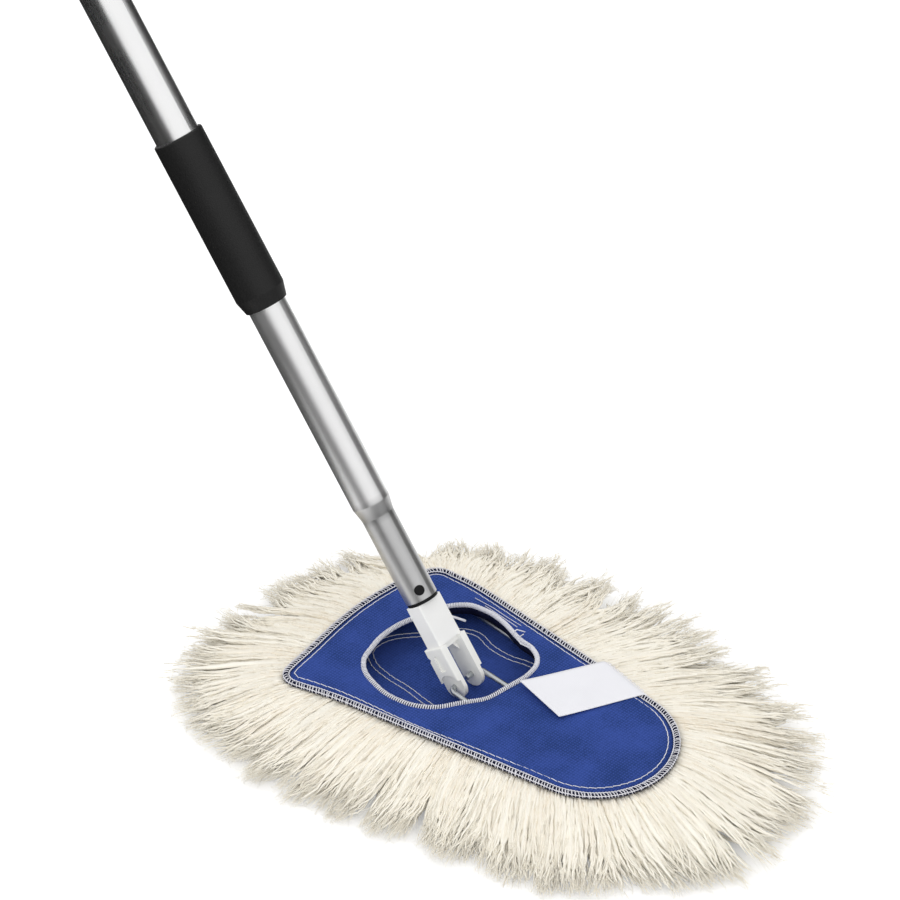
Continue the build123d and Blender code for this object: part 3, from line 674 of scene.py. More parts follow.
def thread_mesh(name, paths, radii, closed=False):
    """One mesh of many thin tubes of four sides, with a radius for each point of each path."""
    curve = bpy.data.curves.new(name, "CURVE")
    curve.dimensions = "3D"
    curve.bevel_depth = 1.0
    curve.bevel_resolution = 0
    for path, radius in zip(paths, radii):
        spline = curve.splines.new("POLY")
        spline.points.add(len(path) - 1)
        spline.points.foreach_set("co", np.column_stack([path, np.ones(len(path))]).ravel())
        spline.points.foreach_set("radius", np.broadcast_to(radius, len(path)).astype(float))
        spline.use_cyclic_u = closed
    holder = bpy.data.objects.new(name, curve)
    open_mesh = bpy.data.meshes.new_from_object(holder)
    bpy.data.objects.remove(holder)
    bpy.data.curves.remove(curve)
    tubes = bmesh.new()
    tubes.from_mesh(open_mesh)
    bpy.data.meshes.remove(open_mesh)
    bmesh.ops.holes_fill(tubes, edges=tubes.edges, sides=TUBE_SIDES)
    return finished(name, tubes)


def toned_mesh(name, strands, tip):
    """One mesh of strands given as path, radius and tone, where the tone fades to a share at the tip."""
    mesh = thread_mesh(name, [path for path, _, _ in strands], [radius for _, radius, _ in strands])
    tones = [np.repeat(tone * np.linspace(1, tip, len(path)), TUBE_SIDES) for path, _, tone in strands]
    tones = np.concatenate(tones)
    if len(tones) != len(mesh.vertices):
        raise RuntimeError("a strand has more corners than its path gives it")
    mesh.attributes.new("tone", "FLOAT", "POINT").data.foreach_set("value", tones)
    return mesh


def joined(name, meshes):
    """One mesh of several, where each mesh takes the next material slot."""
    whole = bmesh.new()
    for slot, mesh in enumerate(meshes):
        first = len(whole.faces)
        whole.from_mesh(mesh)
        whole.faces.ensure_lookup_table()
        for face in whole.faces[first:]:
            face.material_index = slot
        bpy.data.meshes.remove(mesh)
    return finished(name, whole)


def add_ring(cloth, line, height):
    """Corners and edges of a closed ring on a plan line."""
    corners = [cloth.verts.new((x, y, height)) for x, y in line]
    ring = [cloth.edges.new((a, b)) for a, b in zip(corners, corners[1:] + corners[:1])]
    return corners, ring


def span_cloth(cloth, outer, inner, cuts, cap=()):
    """Spans cloth between two rings of edges, and over the corners of a cap inside, and divides it."""
    bmesh.ops.bridge_loops(cloth, edges=outer + inner)
    if cap:
        cloth.faces.new(cap)
    rings = set(outer + inner)
    spokes = [edge for edge in cloth.edges if edge not in rings]
    bmesh.ops.subdivide_edges(cloth, edges=spokes, cuts=cuts, use_grid_fill=True)


def close_band(band, rings):
    """Bridges rings of edges, each to the next and the last to the first."""
    for ring, following in zip(rings, rings[1:] + rings[:1]):
        bmesh.ops.bridge_loops(band, edges=ring + following)
    bmesh.ops.recalc_face_normals(band, faces=band.faces)


def stitch_paths(line, height_at, pitch, fill, slant, rise):
    """Short stitches along a closed plan line: each lies on the cloth and dips in at both ends."""
    count = round(line_length(line) / pitch)
    paths = []
    for stitch in range(count):
        places = (stitch + fill * np.array([0.0, 0.08, 0.92, 1.0])) / count
        plan = walk(line, places)
        ahead = plan[-1] - plan[0]
        side = np.array([ahead[1], -ahead[0]]) / np.linalg.norm(ahead)
        plan = plan + np.outer(np.array([-1.0, -0.85, 0.85, 1.0]) * slant, side)
        heights = np.array([height_at(x, y) for x, y in plan]) + np.array([-0.5, 1.0, 1.0, -0.5]) * rise
        paths.append(np.column_stack([plan, heights]))
    return paths


def sew_rows(name, paths, radius, finish):
    """Piece of white stitches that rides on the head."""
    rows = thread_mesh(name, paths, [radius] * len(paths))
    return give_piece(name, rows, [finish], "head")


def base_swell(place):
    """Height by which the base cloth swells or sags at a place on it."""
    return noise.noise(place / BASE_WAVE) * BASE_SWELL


def fork_dip(x, y):
    """Depth of the dip in the cover's edge and its hem that leaves room for the fork."""
    away = math.hypot(x - FORK_REST[0] * MM, y - FORK_REST[1] * MM)
    return FORK_DIP * math.exp(-((away / FORK_DIP_WIDTH) ** 2))


def hem_heights(line):
    """Heights of the hem's core along a plan line."""
    return np.array([COVER_TOP + HEM_LIFT - fork_dip(x, y) for x, y in line])


def cover_height(inset, x, y):
    """Height of the cover's cloth at a distance in from the seam: a slope at the edge, then a slack top."""
    ease = eased(inset, 0, EDGE_SLOPE)
    slack = noise.noise(Vector((x, y, 0)) / SLACK_WAVE) * SLACK_HEIGHT
    band = math.exp(-(((inset - PUCKER_INSET) / PUCKER_BAND) ** 2))
    pucker = math.sin((x - y) / PUCKER_WAVE) * band * PUCKER_HEIGHT
    top = COVER_TOP + slack + pucker - fork_dip(x, y)
    edge = SEAM_HEIGHT + EDGE_RISE
    return edge + (top - edge) * ease


class MOP_OT_dress_handle(bpy.types.Operator):
    """Give the handle's metal, foam and mouldings, and the wire frame, their finishes"""

    bl_idname = "mop.dress_handle"
    bl_label = "Dress handle"

    def execute(self, context):
        colours = context.scene.mop_colours
        bright = drawn_aluminium("Drawn aluminium, bright", colours.aluminium, 0.29)
        satin = drawn_aluminium("Drawn aluminium, satin", colours.aluminium, 0.38)
        foam = foam_rubber("Black foam rubber", colours.grip)
        black = moulded_plastic("Black moulded nylon", linear("#101011"), 0.5, 0.7 * MM, 0.08, 0.2)
        white = moulded_plastic("White moulded polypropylene", colours.block, 0.4, 0.8 * MM, 0.05)
        pale = moulded_plastic("Pale grey moulded nylon", colours.fork, 0.45, 0.8 * MM, 0.06)
        cream = moulded_plastic("Natural nylon", linear("#D8D2C0"), 0.45, 0.8 * MM, 0.05)
        zinc = plated_steel("Zinc plated wire", linear("#CDD1D4"), 0.36, 3 * MM)
        screw = plated_steel("Plated screw steel", linear("#BDBFC2"), 0.3, 2 * MM)
        finishes = {
            bright: ["upper_tube"],
            satin: ["lower_tube"],
            foam: ["grip_sleeve"],
            black: ["end_cap", "neck_plug", "snap_button"],
            white: ["spacer_block"],
            pale: ["yoke_fork"],
            cream: ["lock_plug", "expander_sleeve", "expander_cone", "guide_bush"],
            zinc: ["wire_frame"],
            screw: ["yoke_screw", "lock_stud", "stop_nut"],
        }
        for material, names in finishes.items():
            for name in names:
                node = frame["nodes"][name]
                node.data.materials.clear()
                node.data.materials.append(material)
        return {"FINISHED"}


class MOP_OT_fit_spring(bpy.types.Operator):
    """Fit the snap button's spring, a copy of the frame's spring that rides on the lower handle"""

    bl_idname = "mop.fit_spring"
    bl_label = "Fit spring"

    def execute(self, context):
        press = JOINTS["button_press"]
        inwards = Vector(press["axis"])
        coil = bmesh.new()
        coil.from_mesh(frame["nodes"]["button_spring"].data)
        bmesh.ops.remove_doubles(coil, verts=coil.verts, dist=0.001 * MM)
        mesh = finished("press_spring", coil)
        depths = [inwards.dot(vertex.co) for vertex in mesh.vertices]
        steel = plated_steel("Spring steel", linear("#BDBFC2"), 0.3, 2 * MM)
        spring = give_piece(
            "press_spring", mesh, [steel], "handle_lower", ["button_spring"]
        )
        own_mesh(spring)
        return {"FINISHED"}


class MOP_OT_sew_base(bpy.types.Operator):
    """Cut the base cloth and sew the double rows that hold the sole's yarn"""

    bl_idname = "mop.sew_base"
    bl_label = "Sew base cloth"

    def execute(self, context):
        sizes = context.scene.mop_sizes
        colours = context.scene.mop_colours
        line = walk(wedge_line(), shares(BASE_STEPS))
        middle = line.mean(axis=0)
        under = BASE_TOP - sizes.cloth
        cloth = bmesh.new()
        _, outer = add_ring(cloth, line, under)
        cap, inner = add_ring(cloth, middle + (line - middle) * 0.05, under)
        span_cloth(cloth, outer, inner, 18, cap)
        for vertex in cloth.verts:
            vertex.co.z += base_swell(vertex.co)
        bmesh.ops.recalc_face_normals(cloth, faces=cloth.faces)
        mesh = finished("base_canvas", cloth)
        canvas = cotton_canvas("Blue base canvas", colours.canvas, colours.canvas_dark)
        base = give_piece("base_canvas", mesh, [canvas], "head", ["base_cloth"])
        thicken(base, sizes.cloth, 1.0)

        def on_base(x, y):
            """Height of the base cloth's face."""
            return BASE_TOP + base_swell(Vector((x, y, under)))

        seam = smooth_line(YARN_SEAM_POINTS, CLOTH_STEPS)
        away = outwards(seam, shares(CLOTH_STEPS), 4 * MM)
        paths = []
        for gap in (0.0, YARN_SEAM_GAP):
            paths += stitch_paths(
                seam + away * gap, on_base, sizes.stitch_pitch, 0.95, 0.1 * MM, sizes.thread_radius
            )
        thread = sewing_thread("White seam thread", colours.thread)
        sewn = sew_rows("yarn_seam_rows", paths, sizes.thread_radius, thread)
        plan_area(line)
        return {"FINISHED"}


class MOP_OT_sew_cover(bpy.types.Operator):
    """Cut the cover cloth round its opening and sew the straight row inside its edge"""

    bl_idname = "mop.sew_cover"
    bl_label = "Sew cover cloth"

    def execute(self, context):
        sizes = context.scene.mop_sizes
        colours = context.scene.mop_colours
        hem = smooth_line(HEM_POINTS, SEAM_STEPS)
        middle = hem.mean(axis=0)
        seam = wedge_line()
        turns = shares(CLOTH_STEPS) * 2 * math.pi
        # Both edges get their corners at the same turns round the opening's middle
        loops = []
        for line in (seam, hem):
            x, y = (line - middle).T
            far = np.interp(turns, np.arctan2(y, x), np.hypot(x, y), period=2 * math.pi)
            loops.append(middle + np.column_stack([np.cos(turns), np.sin(turns)]) * far[:, None])
        cloth = bmesh.new()
        inset = cloth.verts.layers.float.new("inset")
        rings = []
        for loop in loops:
            corners, ring = add_ring(cloth, loop, COVER_TOP)
            for corner, value in zip(corners, np.linalg.norm(loops[0] - loop, axis=1)):
                corner[inset] = value
            rings.append(ring)
        span_cloth(cloth, *rings, 22)
        for vertex in cloth.verts:
            vertex.co.z = cover_height(vertex[inset], vertex.co.x, vertex.co.y)
        bmesh.ops.recalc_face_normals(cloth, faces=cloth.faces)
        mesh = finished("cover_canvas", cloth)
        canvas = cotton_canvas("Blue cover canvas", colours.canvas, colours.canvas_dark)
        cover = give_piece("cover_canvas", mesh, [canvas], "head", ["cover_cloth"])
        thicken(cover, sizes.cloth, -1.0)

        places = shares(ROW_STEPS)
        # The row runs close to the edge along the near side
        row_inset = (3.7 - 1.7 * np.exp(-(((places - 0.74) / 0.07) ** 2))) * MM
        row = walk(seam, places) - outwards(seam, places, 10 * MM) * row_inset[:, None]

        def on_cover(x, y):
            """Height of the cover's face under the row."""
            return cover_height(np.linalg.norm(seam - (x, y), axis=1).min(), x, y)

        paths = stitch_paths(row, on_cover, sizes.stitch_pitch, 0.97, 0.14 * MM, 0.6 * MM)
        thread = sewing_thread("White row thread", colours.thread)
        sewn = sew_rows("cover_row", paths, sizes.thread_radius, thread)
        box = np.ptp(loops[0], axis=0)
        plan_area(loops[0]) - plan_area(loops[1])
        return {"FINISHED"}


class MOP_OT_bind_opening(bpy.types.Operator):
    """Roll the hem of the opening and wrap it with thread"""

    bl_idname = "mop.bind_opening"
    bl_label = "Bind opening"

    def execute(self, context):
        sizes = context.scene.mop_sizes
        colours = context.scene.mop_colours
        line = smooth_line(HEM_POINTS, CLOTH_STEPS)
        core_path = np.column_stack([line, hem_heights(line)])
        core = thread_mesh("hem_core", [core_path], [sizes.hem_radius], closed=True)
        wraps = thread_mesh("hem_wraps", [self.wrap_path(line, sizes.hem_radius + 0.2 * MM)], [HEM_THREAD])
        tails = [np.array(points) * MM for _, points in LOOSE_THREADS]
        loose = thread_mesh("hem_tails", tails, [radius * MM for radius, _ in LOOSE_THREADS])
        mesh = joined("opening_binding", [core, wraps, loose, self.turned_edge(line)])
        # Painted shade: the hem's core and the facing under it take the near-black edge colour
        edge_shade = cotton_canvas("Rolled hem, painted shade", colours.edge_shade, [0.6 * c for c in colours.edge_shade])
        thread = sewing_thread("White hem thread", colours.thread)
        finishes = [edge_shade, thread, thread, edge_shade]
        give_piece("opening_binding", mesh, finishes, "head", ["opening_hem"])
        return {"FINISHED"}

    def wrap_path(self, line, radius):
        """Path of the thread that winds round the hem's core."""
        places = shares(WRAP_STEPS)
        # The wraps stand apart on the near side and lie close at the back
        near = 0.5 - 0.5 * outwards(line, places, 20 * MM)[:, 1]
        pitch = (0.86 + 0.5 * near) * MM
        turn = np.cumsum(2 * math.pi * line_length(line) / WRAP_STEPS / pitch)
        middle = walk(line, places)
        plan = middle + outwards(line, places, 4 * MM) * (np.cos(turn) * radius)[:, None]
        return np.column_stack([plan, hem_heights(middle) + np.sin(turn) * radius])

    def turned_edge(self, line):
        """Turned edge of the cloth, which hangs from the hem on the left side, in painted shade."""
        places = shares(CLOTH_STEPS)
        hang = (1.2 + 5.6 * eased(outwards(line, places, 20 * MM)[:, 1], 0.2, 0.8)) * MM
        facing = bmesh.new()
        rings = []
        for out, share in ((0.2, 0.0), (0.2, 1.0), (0.9, 1.0), (0.9, 0.0)):
            corners, ring = add_ring(facing, line + outwards(line, places, 4 * MM) * out * MM, 0.0)
            for corner, top, depth in zip(corners, hem_heights(line), hang):
                corner.co.z = top - depth * share
            rings.append(ring)
        close_band(facing, rings)
        return finished("hem_facing", facing)


class MOP_OT_serge_edge(bpy.types.Operator):
    """Overlock the pocket's edge: a needle line and slanted bars over the raw edge"""

    bl_idname = "mop.serge_edge"
    bl_label = "Serge edge"

    def execute(self, context):
        sizes = context.scene.mop_sizes
        colours = context.scene.mop_colours
        line = wedge_line()
        rng = np.random.default_rng(SEED)

        def on_edge(places, out, height):
            """Points at a distance out from the seam and a height."""
            plan = walk(line, places) + outwards(line, places, 5 * MM) * np.reshape(out, (-1, 1))
            return np.column_stack([plan, np.broadcast_to(height, len(plan))])

        places = shares(ROW_STEPS)
        edge = bmesh.new()
        rings = [
            add_ring(edge, on_edge(places, out * MM, 0)[:, :2], height * MM)[1] for out, height in RAW_EDGE
        ]
        close_band(edge, rings)
        band = finished("raw_edge", edge)
        bars = round(line_length(line) / sizes.serge_pitch)
        run, out, height, thick = np.array(SERGE_BAR).T
        paths, radii = [], []
        for bar in range(bars):
            start = (bar + rng.uniform(-0.2, 0.2)) / bars
            slant = rng.uniform(0.4, 0.95) / bars
            width = rng.uniform(0.88, 1.06)
            paths.append(on_edge(start + slant * run, out * MM * width, height * MM))
            radii.append(thick * MM * rng.uniform(0.8, 1.15))
        needle = shares(bars * 4)
        wobble = 0.16 * MM * np.sin(needle * bars * 2 * math.pi)
        ripple = 0.12 * MM * np.cos(needle * bars * 2 * math.pi)
        chains = [on_edge(needle, out * MM + wobble, height * MM + ripple) for out, height, _ in SERGE_CHAINS]
        loops = thread_mesh("serge_bars", paths, radii)
        chain_radii = [radius * MM for _, _, radius in SERGE_CHAINS]
        chain = thread_mesh("serge_chains", chains, chain_radii, closed=True)
        mesh = joined("serged_binding", [band, loops, chain])
        # Painted shade: the cut edge between the overlock bars takes the near-black edge colour
        edge_shade = cotton_canvas("Raw canvas edge, painted shade", colours.edge_shade, [0.6 * c for c in colours.edge_shade])
        thread = sewing_thread("White overlock thread", colours.thread)
        give_piece("serged_binding", mesh, [edge_shade, thread, thread], "head", ["serged_edge"])
        return {"FINISHED"}


class MOP_OT_sew_tag(bpy.types.Operator):
    """Lay the blank tag over the cover and sew its end to the left seam"""

    bl_idname = "mop.sew_tag"
    bl_label = "Sew tag"

    def execute(self, context):
        sizes = context.scene.mop_sizes
        colours = context.scene.mop_colours
        corners = [Vector(corner) * MM for corner in TAG_CORNERS]
        cloth = bmesh.new()
        bmesh.ops.create_grid(cloth, x_segments=22, y_segments=30, size=0.5)
        for vertex in cloth.verts:
            across = vertex.co.x + 0.5
            along = vertex.co.y + 0.5
            near = corners[0].lerp(corners[1], across)
            far = corners[3].lerp(corners[2], across)
            curl = 0.9 * MM * math.exp(-along * 9) * (1 - 0.5 * across)
            sag = -0.5 * MM * math.sin(math.pi * along) * math.sin(math.pi * across)
            tuck = -4.0 * MM * max(0.0, (along - 0.9) / 0.1) ** 2
            vertex.co = near.lerp(far, along) + Vector((0, 0, curl + sag + tuck))
        mesh = finished("blank_tag", cloth)
        satin = woven_satin("White tag satin", colours.tag)
        tag = give_piece("blank_tag", mesh, [satin], "head", ["side_tag"])
        thicken(tag, TAG_THICKNESS, 0.0)
        # The stitches lie inside the sewn end, each a little shorter than its share of the width
        inside = (corners[0] - corners[3]).normalized() * 2.5 * MM
        step = (corners[2] - corners[3]) * 0.07
        lift = Vector((0, 0, 0.3 * MM))
        paths = []
        for stitch in range(TAG_STITCHES):
            start = corners[3].lerp(corners[2], 0.06 + stitch * 0.1) + inside
            paths.append(np.array([start, start + step / 2 + lift, start + step]))
        thread = sewing_thread("White tag thread", colours.thread)
        sewn = sew_rows("tag_stitches", paths, sizes.thread_radius, thread)
        return {"FINISHED"}


def make_locks(line, rng, narrow, wide):
    """Locks that the yarns gather into: where each starts along the seam and how it lies."""
    length = line_length(line)
    starts = [0.0]
    while starts[-1] < 1 - narrow / length:
        starts.append(starts[-1] + rng.uniform(narrow, wide) / length)
    starts[-1] = 1.0
    count = len(starts) - 1
    return {
        "starts": np.array(starts),
        "turn": rng.normal(0, 0.1, count),
        "pull": rng.uniform(0.35, 0.85, count),
        "reach": rng.uniform(0.92, 1.05, count),
        "sway": rng.normal(0, 3 * MM, count),
        "lift": rng.uniform(-1.5 * MM, 2 * MM, count),
        "tone": rng.uniform(0, 1, count) ** 2,
    }


def turned(way, angle):
    """Plan direction turned by an angle."""
    cosine = math.cos(angle)
    sine = math.sin(angle)
    return np.array([way[0] * cosine - way[1] * sine, way[0] * sine + way[1] * cosine])


def fanned(line, places):
    """Plan directions of yarns, half way between straight out of the seam and away from the fan's centre."""
    away = walk(line, places) - np.array(FAN_CENTRE) * MM
    ways = outwards(line, places, 25 * MM) + away / np.linalg.norm(away, axis=1)[:, None]
    return ways / np.linalg.norm(ways, axis=1)[:, None]


class MOP_OT_tie_fringe(bpy.types.Operator):
    """Hang the yarn fringe in layers of twisted plies that gather into locks and fray at the tips"""

    bl_idname = "mop.tie_fringe"
    bl_label = "Tie fringe"

    def execute(self, context):
        sizes = context.scene.mop_sizes
        colours = context.scene.mop_colours
        rng = np.random.default_rng(SEED)
        line = wedge_line()
        # The lower yarns gather into locks of their own, which lie behind the gaps of the upper ones
        upper, lower = [make_locks(line, rng, *LOCK_WIDTHS) for _ in range(2)]
        strands = {piece: [] for piece in FRINGE_NODES}
        for depth, (root, spread, tip, plies, radius, fibres) in enumerate(YARN_LAYERS):
            locks = upper if depth < UPPER_LAYERS else lower
            for place, path, side, tone in self.lay_yarns(rng, line, locks, sizes, root, spread, tip):
                home = strands[self.piece_at(place)]
                self.spin_plies(home, rng, path, side, plies, radius * MM, tone)
                self.pull_fibres(home, rng, path, side, sizes, fibres)
        yarn = cotton_yarn("Cotton yarn", colours.yarn, colours.yarn_tan)
        for piece, node in FRINGE_NODES.items():
            # Painted light: the tan flecks fade towards each tip, so the frayed tips are whiter, lifting the
            # shade between them
            mesh = toned_mesh(piece, strands[piece], 0.2)
            give_piece(piece, mesh, [yarn], "head", [node])
        self.sew_tape(line, yarn)
        return {"FINISHED"}

    def piece_at(self, place):
        """Name of the stretch of fringe at a share of the seam from the nose tip, round to the nose again."""
        return next((piece for end, piece in FRINGE_ENDS if place < end), "yarn_nose")

    def lay_yarns(self, rng, line, locks, sizes, root, spread, tip):
        """Middle lines of one layer of yarns, with each one's place on the seam, side direction and tone."""
        length = line_length(line)
        count = round(length / sizes.yarn_pitch)
        places = np.mod((np.arange(count) + rng.uniform(-0.45, 0.45, count)) / count, 1)
        homes = np.searchsorted(locks["starts"], places, side="right") - 1
        middles = (locks["starts"][:-1] + locks["starts"][1:]) / 2
        halves = (locks["starts"][1:] - locks["starts"][:-1]) / 2
        roots = walk(line, places)
        ways = fanned(line, places)
        lock_roots = walk(line, middles)
        lock_ways = fanned(line, middles)
        layer_turn = rng.normal(0, 0.03, len(middles))
        lie_place, lie_reach, lie_tip = np.array(FRINGE_LIE).T
        t = np.linspace(0, 1, YARN_STEPS)
        gathering = eased(t, 0.42, 1.0)
        sink = 0.7 * eased(t, 0.05, 1.05) + 0.3 * t
        for place, home, start, way in zip(places, homes, roots, ways):
            axis = turned(lock_ways[home], locks["turn"][home] + layer_turn[home])
            side = np.array([-axis[1], axis[0]])
            offset = (place - middles[home]) * length
            rounding = 1 - 0.1 * ((place - middles[home]) / halves[home]) ** 2
            lie = np.interp(place, lie_place, lie_reach)
            reach = sizes.yarn_reach * (1 + sizes.end_stretch * way[0] ** 2) * lie
            reach *= spread * locks["reach"][home] * rounding * rng.uniform(0.9, 1.04)
            gather = locks["pull"][home] * gathering
            run = ROOT_GAP + t * (reach - ROOT_GAP)
            free = start + np.outer(run, way)
            held = lock_roots[home] + np.outer(run, axis) + np.outer(offset * (1 + 0.1 * t), side)
            plan = free * (1 - gather)[:, None] + held * gather[:, None]
            # A few yarns stray further than the others
            stray = 3.0 if rng.random() < 0.06 else 1.0
            wander = rng.normal(0, 1.2 * MM * stray) * np.sin(t * rng.uniform(3, 6) + rng.uniform(0, 6.3))
            plan = plan + np.outer(wander * eased(t, 0, 0.7) + locks["sway"][home] * t**2.4, side)
            end = np.interp(place, lie_place, lie_tip) * MM + locks["lift"][home]
            end = max(end * tip + rng.normal(0, 1.2 * MM), 1.5 * MM)
            height = (root + rng.normal(0, 0.35)) * MM * (1 - sink) + end * sink
            yield place, np.column_stack([plan, height]), np.array([*side, 0.0]), locks["tone"][home]

    def spin_plies(self, strands, rng, path, side, plies, thick, tone):
        """Adds one yarn's plies, which twist together at the seam and open towards the tip."""
        path = path[::2] if plies == 1 else path
        t = np.linspace(0, 1, len(path))
        twist = rng.uniform(0, 2 * math.pi) + t * rng.uniform(14, 20)
        opening = (plies - 1) * (0.55 + 0.6 * eased(t, 0.5, 1.0) * rng.uniform(0.5, 1.4)) * MM
        thinning = 0.35 if plies > 1 else 0.7
        crimping = (0.15 * eased(t, 0.1, 0.6) + 0.75 * eased(t, 0.6, 1.0)) * MM
        for ply in range(plies):
            turn = twist + ply * 2 * math.pi / plies
            waves = np.outer(t, rng.uniform(8, 17, 2)) + rng.uniform(0, 2 * math.pi, 2)
            crimp = np.sin(waves) * crimping[:, None]
            strand = path + np.outer(np.cos(turn) * opening + crimp[:, 0], side)
            strand[:, 2] += np.sin(turn) * opening * 0.6 + crimp[:, 1]
            strand = strand[: rng.integers(len(t) - plies, len(t) + 1)]
            radius = thick * (1 - thinning * eased(t[: len(strand)], 0.45, 1.0))
            radius[-1] *= 0.5
            strand[:, 2] = np.maximum(strand[:, 2], radius + 0.1 * MM)
            strands.append((strand, radius, min(1.0, 0.5 * tone + rng.uniform(0, 0.7) ** 1.5)))

    def pull_fibres(self, strands, rng, path, side, sizes, count):
        """Adds one yarn's loose fibres, most near its tip, which stand off it and reach past its end."""
        t = np.linspace(0, 1, len(path))
        ahead = (path[-1] - path[-3]) / np.linalg.norm(path[-1] - path[-3])
        spray = np.linspace(0, 1, FIBRE_STEPS)
        for _ in range(count):
            first = 1 - 0.92 * rng.random() ** 1.7
            run = first + spray * rng.uniform(0.12, 0.34)
            fibre = np.column_stack([np.interp(run, t, path[:, axis]) for axis in range(3)])
            fibre = fibre + np.outer(np.clip(run - 1, 0, 0.09) * sizes.yarn_reach, ahead)
            fibre = fibre + rng.normal(0, 0.8 * MM) * side
            fibre = fibre + np.outer(spray * rng.normal(0, 2.6 * MM) * first, side)
            fibre = fibre + rng.normal(0, 0.5 * MM, fibre.shape) * spray[:, None]
            fibre[:, 2] += rng.normal(0.5 * MM, 0.4 * MM) + spray * rng.normal(0, 1.4 * MM) * first
            fibre[:, 2] = np.maximum(fibre[:, 2], 0.4 * MM)
            strands.append((fibre, sizes.fibre_radius * (1.25 - 0.8 * spray), rng.uniform(0, 0.5)))

    def sew_tape(self, line, yarn):
        """Heading tape behind the roots of the yarn."""
        places = shares(CLOTH_STEPS)
        plan = walk(line, places) + outwards(line, places, 5 * MM) * TAPE_OUT
        tape = bmesh.new()
        rings = [add_ring(tape, plan, height)[1] for height in (TAPE_FOOT, TAPE_TOP)]
        bmesh.ops.bridge_loops(tape, edges=rings[0] + rings[1])
        bmesh.ops.recalc_face_normals(tape, faces=tape.faces)
        mesh = finished("heading_tape", tape)
        piece = give_piece("heading_tape", mesh, [yarn], "head")
        thicken(piece, TAPE_THICKNESS, 0.0)


class MOP_OT_fill_sole(bpy.types.Operator):
    """Tuft the sole with short cut yarns"""

    bl_idname = "mop.fill_sole"
    bl_label = "Fill sole"

    def execute(self, context):
        colours = context.scene.mop_colours
        rng = np.random.default_rng(SEED + 1)
        line = wedge_line()
        middle = line.mean(axis=0)
        radii = np.array(TUFT_RADII) * MM
        t = np.linspace(0, 1, len(radii))
        strands = []
        for ring in np.arange(0.04, 0.97, 0.042):
            loop = middle + (line - middle) * ring
            count = max(6, round(line_length(loop) / TUFT_PITCH))
            places = (np.arange(count) + rng.uniform(-0.3, 0.3, count)) / count
            for spot, way in zip(walk(loop, places), outwards(loop, places, 6 * MM)):
                lean = way * rng.uniform(1, 7) * MM + rng.normal(0, 2.5 * MM, 2)
                for _ in range(TUFT_PLIES):
                    shift = rng.normal(0, 0.8 * MM, 2)
                    plan = spot + shift + np.outer(t**1.5, lean + shift * 1.5)
                    foot = rng.uniform(0.9, 2.4) * MM
                    height = TUFT_ROOT - (TUFT_ROOT - foot) * t
                    strands.append((np.column_stack([plan, height]), radii, rng.uniform(0, 0.8)))
        mesh = toned_mesh("sole_yarn", strands, 1.0)
        yarn = cotton_yarn("Sole yarn", colours.yarn, colours.yarn_tan)
        give_piece("sole_yarn", mesh, [yarn], "head", ["sole_pile"])
        return {"FINISHED"}


def add_card(name, centre, facing, up, width, height, material):
    """Flat stage card that faces a direction."""
    normal = Vector(facing)
    side = Vector(up).cross(normal).normalized()
    axes = Matrix((side * width, normal.cross(side).normalized() * height, normal)).transposed().to_4x4()
    card = bmesh.new()
    bmesh.ops.create_grid(card, x_segments=1, y_segments=1, size=0.5)
    bmesh.ops.transform(card, matrix=Matrix.Translation(centre) @ axes, verts=card.verts)
    mesh = finished(name, card)
    mesh.materials.append(material)
    piece = bpy.data.objects.new(name, mesh)
    bpy.context.scene.collection.objects.link(piece)
    return piece


